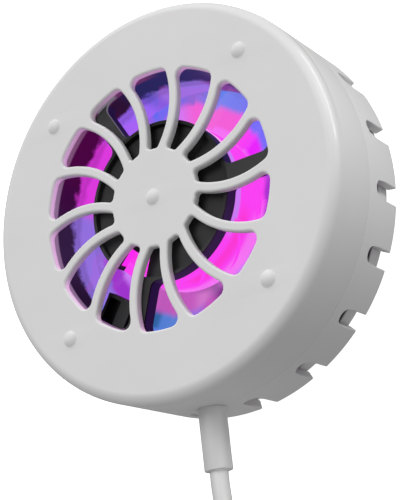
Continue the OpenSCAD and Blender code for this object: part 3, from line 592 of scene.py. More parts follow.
def cover_material():
    """Shell plastic with the lamps' light caught on the slots' walls."""
    m = shell_material("cover_plastic")
    x, y, z = m.axes()
    r, turn = m.radius(x, y), m.turn(x, y)
    sides = m.fade(r, *RIB_LIGHT, RIB_LIGHT_R)
    ends = m.times(amount(m, turn, END_GLOW, END_GLOW_MOST), m.rise(r, SLOT_END_R))
    strength = m.times(m.plus(sides, ends), m.fall(r, SLOT_PAST_R), m.fall(z, UNDER_FACE_Z))
    pink = m.mix(m.rise(z, WALL_PALE_Z), WALL_PINK, WALL_PALE)
    tint = m.mix(m.fall(r, WALL_GREY_R), pink, WALL_GREY)
    m.drive(Emission_Strength=strength, Emission_Color=tint)
    # The rounded front edge is glossier where it faces the strip light
    towards = m.spread(m.math("DIVIDE", m.along(x, y, STRIP_TURN), r), 0, 1, *STRIP_COSINE)
    shine = m.times(towards, m.rise(r, SHINE_R), m.rise(z, SHINE_LOW_Z), m.fall(z, SHINE_HIGH_Z))
    m.drive(Coat_Weight=shine)
    m.set(Coat_Roughness=0.2)
    return m.material


SHADE_TURN = math.radians(60)
SHADE_SPAN = (-3, 9)
SHADE_LEAST = 0.25
SHADE_BLACK = grey(2)


def shade(m, x, y):
    """Less light reaches the motor's disc on the side away from the lights: a share from 1 downwards."""
    return m.fade(m.along(x, y, SHADE_TURN), 1, SHADE_LEAST, SHADE_SPAN, smooth=True)


# Soft edges on the fan's frame: radii and heights in millimetres, directions in degrees
DISC_R = (11.9, 12.2)
OFF_DISC_R = (12.1, 12.3)
RIM_R = (11.85, 11.95)
RIM_Z = (16.4, 16.8)
OPENING_R = (11.2, 11.4)
OPENING_Z = (16.0, 16.6)
OPENING_TURNS = (221.5, 250.5)
BLOCK_R = (15.0, 15.2)
BLOCK_TURNS = (224, 246)
BLOCK_SHADE = [(231 / 360, linear(22, 22, 23)), (243 / 360, linear(46, 46, 47))]
POCKET_Z = (15.6, 16.0)
LINE_R = (12.1, 12.4)
LINE_Z = (16.4, 16.6)
LINE_TURNS = (108, 118.5)
INSIDE_DUCT_R = (19.2, 19.4)
DUCT_R = (19.3, 19.45)
DUCT_FADE_Z = (11.7, 13.2)
LIP_Z = (16.1, 16.5)
LIP_TOP_EDGE_Z = (16.3, 16.5)
# How far the glow's edge wanders, in metres, and how far up or down a normal points on upright sides
RAGGED = 0.7 * MM
UPRIGHT = (0.35, 0.75)


def frame_greys_with_painted_shade(m, cloud, places, block, upright):
    """Black of the frame with painted shade: on the disc's shaded side, across the wires' block, in its
    pocket and on upright sides.
    """
    x, y, z, r, turn = places
    tone = m.mottle(cloud, linear(50, 50, 51), linear(60, 60, 61))
    tone = m.mix(m.fall(r, DISC_R), tone, m.mix(shade(m, x, y), SHADE_BLACK, tone))
    # Painted shade across the wires' block, darker towards one side, and a painted shadow, near black, in its
    # pocket
    tone = m.mix(block, tone, m.ramp(turn, BLOCK_SHADE))
    tone = m.mix(m.times(block, m.fall(z, POCKET_Z)), tone, grey(1))
    # Painted shade: upright sides off the disc are near black
    return m.mix(m.times(m.rise(r, OFF_DISC_R), upright), tone, linear(4, 4, 5))


def duct_material():
    """Black plastic of the fan's frame, with the glow caught on the duct's inside and on upright sides."""
    m = Nodes("frame_black")
    x, y, z = m.axes()
    r, turn = m.radius(x, y), m.turn(x, y)
    cloud, fine = m.noise(200, 3), m.noise(4200, 2)
    upright = m.spread(m.math("ABSOLUTE", m.facing()[2]), 1, 0, *UPRIGHT)
    block = m.times(band(m, turn, *BLOCK_TURNS), m.rise(r, BLOCK_R))
    m.colour(frame_greys_with_painted_shade(m, cloud, (x, y, z, r, turn), block, upright))
    m.grain(fine, 0.50, 0.62, 0.2)
    m.set(Specular_IOR_Level=0.12)
    # The duct's wall: the ring's colours low down, with a ragged edge, and paler ones on the lip
    ragged = m.plus(z, m.spread(m.noise(520, 3, 0.6), -RAGGED, RAGGED, NOISE_LOW, NOISE_HIGH))
    lit = m.fade(ragged, 0.8, 0, DUCT_FADE_Z, smooth=True)
    wall = m.mix(lit, glow(m, turn, DUCT_GLOW), glow(m, turn, RING_GLOW))
    wall = m.mix(m.rise(z, LIP_Z, smooth=True), wall, glow(m, turn, LIP_GLOW))
    tint = m.mix(m.fall(r, INSIDE_DUCT_R), wall, ARM_SIDE)
    # A painted highlight: a thin light line on one arm's upper edge
    line = m.times(band(m, turn, *LINE_TURNS), m.rise(r, LINE_R), m.rise(z, LINE_Z))
    tint = m.mix(line, tint, ARM_HIGHLIGHT)
    # The opening for the wires, which the hub's lamps fill from below
    opening = m.times(band(m, turn, *OPENING_TURNS), m.fall(r, OPENING_R))
    tint = m.mix(opening, tint, OPENING_PINK)
    rim = m.times(m.rise(r, RIM_R), m.fade(z, 0.8, 0, RIM_Z), m.minus(1.0, block))
    deep = m.times(opening, m.fall(z, OPENING_Z))
    sides = m.times(m.most(rim, deep, line), upright)
    wall_lit = m.times(m.rise(r, DUCT_R), m.most(upright, m.rise(z, LIP_TOP_EDGE_Z)))
    m.drive(Emission_Color=tint, Emission_Strength=m.most(sides, wall_lit))
    return m.material


def label_material():
    """Bare matte sticker, dark on the side away from the lights."""
    m = Nodes("label_black")
    x, y, _ = m.axes()
    fine = m.noise(2600, 2)
    tone = m.mottle(m.noise(180, 4), linear(46, 46, 48), linear(51, 51, 53))
    m.colour(m.mix(shade(m, x, y), SHADE_BLACK, tone))
    m.grain(fine, 0.45, 0.55, 0.15)
    m.set(Specular_IOR_Level=0.2)
    return m.material


RING_INNER_R = (20.0, 20.6)
RING_FADE_Z = (10.8, 12.0)
RING_STREAK = 1.6 * MM


def ring_material():
    """Clear ring that carries the lamps' light round the duct."""
    m = Nodes("light_ring_clear")
    x, y, z = m.axes()
    fine = m.noise(900, 3)
    m.colour(m.mottle(fine, (0.02, 0.018, 0.03), (0.03, 0.026, 0.04)))
    m.grain(fine, 0.3, 0.4, 0.05)
    m.set(Specular_IOR_Level=0.06)
    streak = m.plus(z, m.times(m.noise(420, 2), RING_STREAK))
    inside = m.fall(m.radius(x, y), RING_INNER_R)
    strength = m.times(inside, m.fade(streak, 1.0, 0.72, RING_FADE_Z, smooth=True))
    m.drive(Emission_Color=glow(m, m.turn(x, y), RING_GLOW), Emission_Strength=strength)
    return m.material


# The glow under the fan: soft edges in millimetres, directions in degrees, and the slant that carries it
FIN_TOP_Z = 7.0
SLANT_X = 0.638
SLANT_Y = -0.41
FLOOR_SOFT = (-0.7, 0.7)
FLOOR_EDGE_MOST = 20.0
PALE_R = (13.5, 14.2)
PALE_TURNS = (56, 74, 6.0)
HUB_FOOT_R = (11.7, 12.6)
OUTER_R = (18.0, 18.8)
GLOW_END_R = (23.4, 24.2)
SHOWN_TURNS = (40, 228, 4.0)
PAST_RING_R = (19.6, 20.3)
ABOVE_PLATE_Z = (2.6, 3.0)
# Shares: of a full turn, and of how far a normal points up or outwards
OUTER_TURNS = (125 / 360, 135 / 360)
NOT_UNDER = (-0.6, -0.2)
NOT_OUTWARD = (0.2, 0.6)


def floor_glow(m, strength):
    """Light on what lies under the fan: pink near the hub, other colours farther out, none on outer sides."""
    x, y, z = m.axes()
    # Carried along a slanting line to the fins' tops, so that colours run on over the steps between the fins
    rise = m.minus(z, FIN_TOP_Z * MM)
    top_x = m.minus(x, m.times(rise, SLANT_X))
    top_y = m.minus(y, m.times(rise, SLANT_Y))
    r, turn = m.radius(top_x, top_y), m.turn(top_x, top_y)
    past = m.minus(r, m.times(amount(m, turn, FLOOR_EDGE, FLOOR_EDGE_MOST), MM))
    share = m.rise(past, FLOOR_SOFT, smooth=True)
    tint = m.mix(share, glow(m, turn, FLOOR_INNER), glow(m, turn, FLOOR_OUTER))
    tint = m.mix(m.times(m.fall(r, PALE_R), band(m, turn, *PALE_TURNS)), tint, PALE_PINK)
    tint = m.mix(m.fall(r, HUB_FOOT_R), tint, glow(m, turn, HUB_FOOT_GLOW))
    outside = m.times(m.rise(r, OUTER_R), m.spread(turn, 0, 1, *OUTER_TURNS))
    tint = m.mix(outside, tint, glow(m, turn, RING_GLOW))
    nx, ny, nz = m.facing()
    own_r = m.radius(x, y)
    outward = m.math("DIVIDE", m.plus(m.times(nx, x), m.times(ny, y)), own_r)
    near = m.fade(own_r, strength, 0, GLOW_END_R, smooth=True)
    # Only the side that shows past the ring is lit that far out, so that no light leaves by the air notches
    hidden = m.minus(1.0, band(m, m.turn(x, y), *SHOWN_TURNS))
    near = m.times(near, m.minus(1.0, m.times(hidden, m.rise(own_r, PAST_RING_R))))
    upper = m.times(m.rise(z, ABOVE_PLATE_Z), m.spread(nz, 0, 1, *NOT_UNDER))
    lit = m.times(near, m.spread(outward, 1, 0, *NOT_OUTWARD), upper)
    m.drive(Emission_Color=tint, Emission_Strength=lit)


def sink_material(name):
    """Bare aluminium under the fan, painted near black as shade, flooded by the lamps."""
    m = Nodes(name)
    fine = m.noise(2500, 3)
    # Painted shade: a near-black base in place of the aluminium's own grey, under the painted glow
    m.colour(m.mottle(fine, (0.025, 0.025, 0.03), (0.04, 0.04, 0.045)))
    m.grain(fine, 0.5, 0.65, 0.15)
    m.set(Specular_IOR_Level=0.15)
    floor_glow(m, 0.97)
    return m.material


WITHIN_SHELL_R = (28.1, 28.4)


def lit_plastic(name, level):
    """Grey plastic inside the shell, with painted shade, near black, where the shell covers it, and the
    lamps' light on the part next to the fan.
    """
    m = Nodes(name)
    x, y, z = m.axes()
    fine = m.noise(3600, 2)
    own = m.mottle(m.noise(180, 4), grey(level - 6), grey(level))
    within = m.times(m.fall(m.radius(x, y), WITHIN_SHELL_R), m.rise(z, ABOVE_PLATE_Z))
    # Painted shade: near black inside the shell, from the plate's top up
    m.colour(m.mix(within, own, (0.03, 0.03, 0.035)))
    m.grain(fine, 0.45, 0.55, 0.15)
    floor_glow(m, 0.9)
    return m.material


# Soft edges on the impeller, in millimetres and degrees
HUB_PALE_Z = (8.8, 10.5)
HUB_PALE_R = (11.2, 11.7)
HUB_PALE_TURNS = (250, 332, 12.0)
HUB_WARM_LOW_Z = (10.0, 11.8)
HUB_WARM_HIGH_Z = (12.4, 13.4)
HUB_WARM_TURNS = (280, 335, 12.0)
HUB_TOP_Z = (13.2, 13.6)
HUB_TOP_R = (11.6, 11.9)
HUB_GLOW_R = (12.1, 12.6)
BLADE_ROOT_R = (12.04, 12.2)
BLADE_ALPHA = 0.04


def impeller_material():
    """Clear plastic of the impeller: the hub glows, and the blades are thin and let the floor show."""
    m = Nodes("impeller_clear")
    x, y, z = m.axes()
    r, turn = m.radius(x, y), m.turn(x, y)
    fine = m.noise(1200, 3)
    m.colour(m.mottle(fine, (0.03, 0.01, 0.03), (0.04, 0.012, 0.04)))
    m.grain(fine, 0.4, 0.5, 0.05)
    m.set(Specular_IOR_Level=0.02)
    pale = m.times(m.fall(z, HUB_PALE_Z, smooth=True), m.rise(r, HUB_PALE_R), band(m, turn, *HUB_PALE_TURNS))
    warm = m.times(m.fade(z, 0, 0.6, HUB_WARM_LOW_Z, smooth=True), m.fall(z, HUB_WARM_HIGH_Z))
    tint = m.mix(pale, HOT, PALE_PINK)
    tint = m.mix(m.times(warm, band(m, turn, *HUB_WARM_TURNS)), tint, CERISE)
    top = m.times(m.rise(z, HUB_TOP_Z), m.rise(r, HUB_TOP_R))
    tint = m.mix(top, tint, glow(m, turn, HUB_RIM_GLOW))
    m.drive(Emission_Color=tint, Emission_Strength=m.fade(r, 0.97, 0.9, HUB_GLOW_R),
            Alpha=m.fade(r, 1.0, BLADE_ALPHA, BLADE_ROOT_R))
    return m.material


def lit_metal(name, colour, strength):
    """Metal inside the hub, flooded by the hub's lamps."""
    m = Nodes(name)
    fine = m.noise(2200, 3)
    m.colour(m.mottle(fine, scaled(colour, 0.9), colour))
    m.grain(fine, 0.3, 0.45, 0.15)
    m.drive(Emission_Color=m.ramp(m.noise(160, 2), [(0.35, HOT), (0.65, METAL_PINK)]))
    m.set(Metallic=1.0, Emission_Strength=strength)
    return m.material


def lamp_material():
    m = Nodes("lamp_white")
    fine = m.noise(1500, 2)
    m.colour(m.mottle(fine, (0.75, 0.72, 0.55), (0.85, 0.82, 0.65)))
    m.rough(fine, 0.25, 0.4)
    m.set(Emission_Color=(0.9, 0.6, 1.0, 1), Emission_Strength=1.5)
    return m.material


def turned_metal(name, colour, rough):
    """Metal faced on a lathe: fine rings round the axis."""
    grooves_per_metre, groove_depth = 2200.0, 0.000006
    m = Nodes(name)
    x, y, _ = m.axes()
    wave = m.math("SINE", m.times(m.radius(x, y), grooves_per_metre * 2 * math.pi))
    fine = m.noise(700, 4)
    m.colour(m.mottle(fine, scaled(colour, 0.93), colour))
    m.rough(fine, rough - 0.06, rough + 0.08)
    m.bump(m.plus(wave, m.times(fine, 2.0)), 0.25, groove_depth)
    m.set(Metallic=1.0)
    return m.material


def fabric_material():
    """Woven tape of the tie."""
    weave_rate, weave_depth = 9000.0, 0.00008
    m = Nodes("tie_fabric")
    x, y, z = m.axes()
    weft = m.math("SINE", m.times(y, weave_rate))
    warp = m.math("SINE", m.times(m.plus(x, z), weave_rate))
    fluff = m.noise(2500, 4)
    m.colour(m.mottle(fluff, linear(44, 44, 46), linear(70, 70, 73)))
    m.rough(fluff, 0.8, 0.95)
    m.bump(m.plus(m.times(weft, warp), fluff), 0.6, weave_depth)
    m.set(Sheen_Weight=0.4)
    return m.material


# Finishes by the record's material slots
finishes = {
    "shell_plastic": shell_material("shell_plastic").material,
    "base_plastic": lit_plastic("base_plastic", 221),
    "boot_plastic": plain("boot_plastic", grey(206), 0.45, vary=0.02),
    "cord_jacket": plain("cord_jacket", grey(214), 0.42, vary=0.015, grain=2500),
    "pad_silicone": plain("pad_silicone", linear(224, 224, 222), 0.62, vary=0.02),
    "cold_aluminium": turned_metal("cold_aluminium", (0.80, 0.80, 0.82), 0.32),
    "frame_black": duct_material(),
    "label_black": label_material(),
    "light_ring_clear": ring_material(),
    "sink_aluminium": sink_material("sink_aluminium"),
    "screw_steel": sink_material("screw_steel"),
    "impeller_clear": impeller_material(),
    "lamp_white": lamp_material(),
    "plug_steel": plain("plug_steel", (0.74, 0.74, 0.76), 0.24, metal=1.0, vary=0.04, grain=2600),
    "plug_plastic": plain("plug_plastic", grey(210), 0.42, vary=0.02),
    "tie_fabric": fabric_material(),
    "foam": plain("foam", (0.03, 0.03, 0.03), 0.9, bump=0.6, grain=1500),
    "stator_steel": lit_metal("stator_steel", (0.40, 0.41, 0.44), 0.8),
    "winding_copper": lit_metal("winding_copper", (0.72, 0.33, 0.15), 0.6),
}
# Colour, roughness and, for metals, how metallic it is
PLAIN_FINISHES = {
    "magnet_nickel": ((0.70, 0.69, 0.66), 0.25, 1.0),
    "dark_steel": ((0.30, 0.30, 0.32), 0.4, 1.0),
    "ceramic": ((0.86, 0.86, 0.84), 0.5),
    "pellet_alloy": ((0.35, 0.35, 0.38), 0.4, 0.8),
    "red_wire": ((0.55, 0.03, 0.03), 0.45),
    "board_green": ((0.02, 0.14, 0.06), 0.4),
    "component_black": ((0.025, 0.025, 0.028), 0.5),
    "bearing_bronze": ((0.60, 0.42, 0.22), 0.4, 1.0),
    "shaft_steel": ((0.78, 0.78, 0.80), 0.18, 1.0),
    "clip_nylon": ((0.85, 0.83, 0.76), 0.5),
    "contact_gold": ((0.90, 0.66, 0.28), 0.25, 1.0),
}
finishes.update((name, plain(name, *how)) for name, how in PLAIN_FINISHES.items())
cover_grey = cover_material()
ledge_grey = lit_plastic("ledge_plastic", 212)


# Cord
def coil_point(turn):
    """A point of the stored coil, whose layers spiral in and out in turn."""
    k = math.floor(turn / LAYER_TURNS)
    inwards = (turn / LAYER_TURNS - k) * LAYER_TURNS * COIL_PITCH
    r = COIL_OUT_R - inwards if k % 2 == 0 else COIL_IN_R + inwards
    layer = sum(min(1, max(0, 2 * (turn - i * LAYER_TURNS) + 0.5)) for i in range(1, COIL_LAYERS))
    a = -2 * math.pi * turn
    return Vector((COIL_X + r * math.cos(a), COIL_Y + r * math.sin(a), COIL_Z + COIL_PITCH * layer))


def smooth_curve(points, steps=4):
    """Points of a smooth curve through the given ones."""
    p = [Vector(q) for q in points]
    p = [2 * p[0] - p[1]] + p + [2 * p[-1] - p[-2]]
    made = []
    for a, b, c, d in zip(p, p[1:], p[2:], p[3:]):
        for i in range(steps):
            t = i / steps
            made.append(0.5 * (2 * b + (c - a) * t + (2 * a - 5 * b + 4 * c - d) * t * t
                               + (3 * b - a - 3 * c + d) * t ** 3))
    return made + [p[-2]]


def cord_route():
    """The cord's middle line, with the points of the CAD source: lead, stored coil and tail to the plug."""
    lead = [(0, BOOT_END_Y, CORD_Z), (0, -41.5, 8.75), (0, -45, 8.2), (0, -49, 6.6), (0, -53, 4.5),
            (0, -57, 2.9), (0, -61, COIL_Z + 0.1), (0, -65, COIL_Z), (0, COIL_Y + CORD_D, COIL_Z)]
    tail = [(COIL_X + CORD_D, COIL_LEAVE_Y, COIL_TOP_Z), (-10, COIL_LEAVE_Y, COIL_TOP_Z),
            (-4, COIL_LEAVE_Y, COIL_TOP_Z - 0.1), (1, -53.7, 11.1), (6, -54.9, 9.7), (10.2, -57.3, 7.8),
            (13.2, -60.2, 5.8), (14.6, -62.4, 4.45), (15, -64, 4), (15, -66, 4)]
    per_turn = 24
    coil = [coil_point(i / per_turn) for i in range(int(COIL_TURNS * per_turn) + 1)]
    return smooth_curve(lead) + coil + smooth_curve(tail)


def make_cord():
    route = [q * MM for q in cord_route()]
    data = bpy.data.curves.new("cord", "CURVE")
    data.dimensions = "3D"
    data.bevel_depth = CORD_D / 2 * MM
    data.bevel_resolution = 4
    data.use_fill_caps = True
    spline = data.splines.new("POLY")
    spline.points.add(len(route) - 1)
    for point, q in zip(spline.points, route):
        point.co = (*q, 1)
    spline.use_smooth = True
    made = bpy.data.objects.new("cord", data)
    scene.collection.objects.link(made)
    dress(made, "cord_jacket", ("cord_lead", "cord_coil", "cord_tail"))
    length = sum((b - a).length for a, b in zip(route, route[1:]))
    return made, length


cord, cord_length = make_cord()


# Front cover
def crossing(c1, r1, c2, r2):
    """Where two circles cross."""
    d = (c2 - c1).length
    u = (c2 - c1) / d
    x = (d * d + r1 * r1 - r2 * r2) / (2 * d)
    y = math.sqrt(r1 * r1 - x * x)
    return c1 + x * u - y * Vector((-u.y, u.x))


def swing(centre, r, start, end, steps):
    """Points of an arc round a centre, from one direction to another by the shorter way."""
    a, b = math.atan2(start.y, start.x), math.atan2(end.y, end.x)
    b -= 2 * math.pi * round((b - a) / (2 * math.pi))
    turns = [a + (b - a) * i / steps for i in range(steps + 1)]
    return [centre + r * Vector((math.cos(t), math.sin(t))) for t in turns]


def rib_centre(k):
    """Middle of the arc that a rib follows."""
    a = math.radians(RIB_TURN) + k * 2 * math.pi / SLOTS
    return Vector((RIB_TRUE_R * math.cos(a) - RIB_ARC_R * math.sin(a),
                   RIB_TRUE_R * math.sin(a) + RIB_ARC_R * math.cos(a)))


def slot_outline(grow):
    """One slot between two ribs, widened by a distance all round; the points keep their order."""
    zero = Vector((0, 0))
    a, b = rib_centre(0), rib_centre(1)
    ra, rb = RIB_ARC_R - RIB_W / 2, RIB_ARC_R + RIB_W / 2
    out, into = SLOT_CORNER_OUT, SLOT_CORNER_IN
    oa = crossing(zero, SLOT_OUT_R - out, a, ra - out)
    ob = crossing(zero, SLOT_OUT_R - out, b, rb + out)
    ib = crossing(zero, SLOT_IN_R + into, b, rb + into)
    ia = crossing(zero, SLOT_IN_R + into, a, ra - into)
    arcs = [swing(oa, out + grow, oa - a, oa, 8), swing(zero, SLOT_OUT_R + grow, oa, ob, 8),
            swing(ob, out + grow, ob, b - ob, 8), swing(b, rb - grow, ob - b, ib - b, 16),
            swing(ib, into + grow, b - ib, -ib, 8), swing(zero, SLOT_IN_R - grow, ib, ia, 4),
            swing(ia, into + grow, -ia, ia - a, 8), swing(a, ra + grow, ia - a, oa - a, 16)]
    return [p for one in arcs for p in one[:-1]]


SKIN = 0.05
COVER_STEPS = 224
DOME_RINGS = (1.46, 1.40, 1.34, 1.28, 1.23, 1.18, 1.12, 1.04, 0.92, 0.78, 0.62, 0.45, 0.28, 0.12)
DOME_FLAT_R = 1.42
DOME_BLEND = 0.07


def cover_profile():
    """The cover's outside from the face over the rounded edge to the seam, and its inside up again."""
    edge = [(BODY_R - into, FACE_Z - down) for into, down in quarter(EDGE_R, 16)]
    seam = [(BODY_R, SEAM_Z + 0.10), (BODY_R - 0.02, SEAM_Z + 0.04), (BODY_R - 0.08, SEAM_Z),
            (WALL_R + 0.1, SEAM_Z), (WALL_R, SEAM_Z + 0.1)]
    under = [(WALL_R, UNDER_Z - 0.3), (WALL_R - 0.1, UNDER_Z - 0.1), (WALL_R - 0.3, UNDER_Z),
             (WALL_R - 0.35, UNDER_Z)]
    return [(BODY_R - EDGE_R - SKIN, FACE_Z)] + edge + seam + under


def slot_levels():
    """How much wider than the slot its wall is at each height, with the rounded upper and lower edges."""
    upper = [(into, FACE_Z - down) for into, down in quarter(SLOT_EDGE, 6)]
    edge = SLOT_UNDER_EDGE
    lower = [(0, UNDER_Z + edge), (edge * 0.3, UNDER_Z + edge * 0.3), (edge, UNDER_Z), (edge + SKIN, UNDER_Z)]
    return [(SLOT_EDGE + SKIN, FACE_Z)] + upper + lower


def dome_height(r):
    """Height of a dome over the face, with a soft foot."""
    ball = (DOME_H ** 2 + DOME_R ** 2) / (2 * DOME_H)
    h = math.sqrt(ball ** 2 - r ** 2) - (ball - DOME_H)
    h = (h + math.sqrt(h * h + DOME_BLEND * DOME_BLEND)) / 2 if r < DOME_FLAT_R else 0.0
    return min(h, DOME_H)


def make_cover():
    made = Builder()
    outer = made.stack([circle(r, z, COVER_STEPS) for r, z in cover_profile()])
    tops, unders = [outer[0]], [outer[-1]]
    for k in range(SLOTS):
        turn = Matrix.Rotation(2 * math.pi * k / SLOTS, 2)
        loops = made.stack([[(*(turn @ p), z) for p in slot_outline(grow)] for grow, z in slot_levels()])
        tops.append(loops[0])
        unders.append(loops[-1])
    for x, y in [(0, 0)] + CORNERS:
        loops = made.stack([circle(r, FACE_Z + dome_height(r), 40, x, y) for r in DOME_RINGS])
        made.cap(loops[-1], (x, y, FACE_Z + DOME_H))
        tops.append(loops[0])
    made.fill(tops)
    made.fill(unders)
    made.piece("cover_front", "shell_plastic", ("front_cover",), cover_grey)


make_cover()


# Rear shell
ARCH_STEPS = 14
WALL_STEPS = 12


def notch_rows(r, middle, pitch):
    """At a radius, the points of one notch's arch and the directions along the wall to the next notch."""
    half = NOTCH_W / 2
    arch = []
    for i in range(ARCH_STEPS + 1):
        x = half * math.sin(math.pi * (i / ARCH_STEPS - 0.5))
        arch.append((middle + math.asin(x / r), NOTCH_SPRING_Z + math.sqrt(max(0, half * half - x * x))))
    side = math.asin(half / r)
    wall = [middle + side + (pitch - 2 * side) * i / WALL_STEPS for i in range(WALL_STEPS + 1)]
    return arch, wall


def upright_faces(made, r, rows, flip):
    """The shell's outside or inside, over one notch and along the wall to the next."""
    arch, wall = rows
    for (a0, z0), (a1, z1) in zip(arch, arch[1:]):
        made.quad([(r, a0, z0), (r, a1, z1), (r, a1, SEAM_Z), (r, a0, SEAM_Z)], flip)
    for a0, a1 in zip(wall, wall[1:]):
        for z0, z1 in ((REAR_Z, NOTCH_SPRING_Z), (NOTCH_SPRING_Z, SEAM_Z)):
            made.quad([(r, a0, z0), (r, a1, z0), (r, a1, z1), (r, a0, z1)], flip)


def edge_faces(made, outer, inner):
    """The faces through the wall: the notch's arch and sides, the seam and the rear edge."""
    (outer_arch, outer_wall), (inner_arch, inner_wall) = outer, inner
    for p0, p1, q0, q1 in zip(outer_arch, outer_arch[1:], inner_arch, inner_arch[1:]):
        made.across(p1, p0, q1, q0)
        made.across((p0[0], SEAM_Z), (p1[0], SEAM_Z), (q0[0], SEAM_Z), (q1[0], SEAM_Z))
    for p0, p1, q0, q1 in zip(outer_wall, outer_wall[1:], inner_wall, inner_wall[1:]):
        made.across((p1, REAR_Z), (p0, REAR_Z), (q1, REAR_Z), (q0, REAR_Z))
        made.across((p0, SEAM_Z), (p1, SEAM_Z), (q0, SEAM_Z), (q1, SEAM_Z))
    for j in (0, -1):
        p, q = outer_wall[j], inner_wall[j]
        made.across((p, REAR_Z), (p, NOTCH_SPRING_Z), (q, REAR_Z), (q, NOTCH_SPRING_Z))


def ease_seam(obj):
    """Gives the sharp edges along the seam a much finer bevel than the others."""
    mesh = obj.data
    weights = mesh.attributes.new("bevel_weight_edge", "FLOAT", "EDGE").data
    for edge in mesh.edges:
        at_seam = all(abs(mesh.vertices[i].co.z - SEAM_Z * MM) < 1e-6 for i in edge.vertices)
        if edge.use_edge_sharp:
            weights[edge.index].value = SEAM_SHARE if at_seam else 1.0
    obj.modifiers["edges"].limit_method = "WEIGHT"


def make_rear_wall():
    made = WallBuilder()
    pitch = 2 * math.pi / NOTCHES
    for k in range(NOTCHES):
        middle = (k + 0.5) * pitch
        outer, inner = notch_rows(BODY_R, middle, pitch), notch_rows(WALL_R, middle, pitch)
        upright_faces(made, BODY_R, outer, False)
        upright_faces(made, WALL_R, inner, True)
        edge_faces(made, outer, inner)
    obj = made.piece("shell_rear", "shell_plastic", ("rear_shell",))
    bevel(obj, SHELL_BEVEL, 3)
    ease_seam(obj)


def make_rear_ledge():
    """The ledge inside the shell, with its lip and the posts for the screws."""
    rounding, post_edge = 0.15, 0.1
    made = Builder()
    corners = [(LEDGE_IN_R, LEDGE_Z, rounding), (WALL_R, LEDGE_Z, 0), (WALL_R, SEAM_Z, 0),
               (LIP_OUT_R, SEAM_Z, 0), (LIP_OUT_R, LIP_TOP_Z, rounding), (LIP_IN_R, LIP_TOP_Z, rounding),
               (LIP_IN_R, LEDGE_TOP_Z, 0), (LEDGE_IN_R, LEDGE_TOP_Z, rounding)]
    lathe(made, rounded_profile(corners), 128)
    post = [(POST_BORE_R, PLATE_TOP_Z), (POST_R - post_edge, PLATE_TOP_Z), (POST_R, PLATE_TOP_Z + post_edge),
            (POST_R, LEDGE_Z), (POST_BORE_R, LEDGE_Z)]
    for x, y in CORNERS:
        made.tube([circle(r, z, 32, x, y) for r, z in post])
    made.piece("shell_rear_ledge", "shell_plastic", ("rear_shell",), ledge_grey)


make_rear_wall()
make_rear_ledge()


# Contact face
FACE_STEPS = 160


def make_base_plate():
    made = Builder()
    corners = [(PLATE_HOLE_R, PLATE_Z, 0.1), (GROOVE_IN_R, PLATE_Z, 0.1), (GROOVE_IN_R, GROOVE_TOP_Z, 0),
               (GROOVE_OUT_R, GROOVE_TOP_Z, 0), (GROOVE_OUT_R, PLATE_Z, 0.1), (PLATE_R, PLATE_Z, 0.15),
               (PLATE_R, PLATE_TOP_Z, 0.2), (PLATE_SINK_R, PLATE_TOP_Z, 0.1), (PLATE_SINK_R, COLD_TOP_Z, 0),
               (PLATE_HOLE_R, COLD_TOP_Z, 0)]
    lathe(made, rounded_profile(corners), FACE_STEPS)
    made.piece("plate_base", "base_plastic", ("base_plate",))


def make_pad():
    made = Builder()
    corners = [(PAD_IN_R, 0, 0.25), (PAD_OUT_R, 0, 0.3), (PAD_OUT_R, GROOVE_TOP_Z, 0),
               (PAD_IN_R, GROOVE_TOP_Z, 0)]
    lathe(made, rounded_profile(corners, 5), FACE_STEPS)
    made.piece("pad_contact", "pad_silicone", ("contact_pad",))


def make_cold_plate():
    made = Builder()
    flat = [(2.0, 0), (9.0, 0), (COLD_R - 0.4, 0)]
    rim = rounded_profile([(COLD_R - 0.1, 0.0, 0.0), (COLD_R, 0.12, 0.06), (COLD_R, COLD_TOP_Z, 0)])
    loops = made.stack([circle(r, z, FACE_STEPS) for r, z in flat + rim])
    made.cap(loops[0], (0, 0, 0))
    made.fill([loops[-1]])
    made.piece("plate_cold", "cold_aluminium", ("cold_plate",))


make_base_plate()
make_pad()
make_cold_plate()


# Boot
def make_boot():
    made = Builder()
    bore, neck = CORD_D / 2 + 0.02, CORD_D / 2 + 0.3
    profile = [(bore, BOOT_START_Y), (neck, BOOT_START_Y), (neck, -29.9), (BOOT_R - 0.1, -29.95),
               (BOOT_R, -30.05), (BOOT_R, BOOT_END_Y + 0.12), (BOOT_R - 0.04, BOOT_END_Y + 0.04),
               (BOOT_R - 0.12, BOOT_END_Y), (bore, BOOT_END_Y)]
    made.tube([circle_on_y(r, y, 48, CORD_Z) for r, y in profile])
    made.piece("boot", "boot_plastic", ("cord_boot",))


make_boot()


# Tie round the coil
def tie_outline(grow):
    """The tie's loop round the coil's turns: a rounded rectangle, larger by a distance all round."""
    w = COIL_OUT_R - COIL_IN_R + CORD_D + 2 * TIE_SLACK
    h = COIL_TOP_Z - COIL_Z + CORD_D + FREE_GAP + TIE_TOP_GAP
    x, z, steps = COIL_X - COIL_MID_R, TIE_T + h / 2, 8
    made = []
    for cx, cz, start in ((1, 1, 0), (-1, 1, 90), (-1, -1, 180), (1, -1, 270)):
        for i in range(steps + 1):
            a = math.radians(start + 90 * i / steps)
            made.append((x + cx * (w / 2 - TIE_CORNER_R) + (TIE_CORNER_R + grow) * math.cos(a),
                         z + cz * (h / 2 - TIE_CORNER_R) + (TIE_CORNER_R + grow) * math.sin(a)))
    return made


def make_tie():
    made = Builder()
    t, far, edge = TIE_T, TIE_W / 2, 0.06
    near = far - edge
    section = [(edge, -far), (0, -near), (0, near), (edge, far), (t - edge, far), (t, near), (t, -near),
               (t - edge, -far)]
    made.tube([[(x, COIL_Y + side, z) for x, z in tie_outline(grow)] for grow, side in section])
    return made.piece("tie", "tie_fabric", ("cord_tie",))


tie_piece = make_tie()

# CAD nodes that stay
NODE_BEVELS = {"fan_frame": 0.12, "impeller": 0.12, "hub_label": 0.05, "light_ring": 0.12, "heat_sink": 0.1,
               "plug_housing": 0.5, "plug_shell": 0.1}
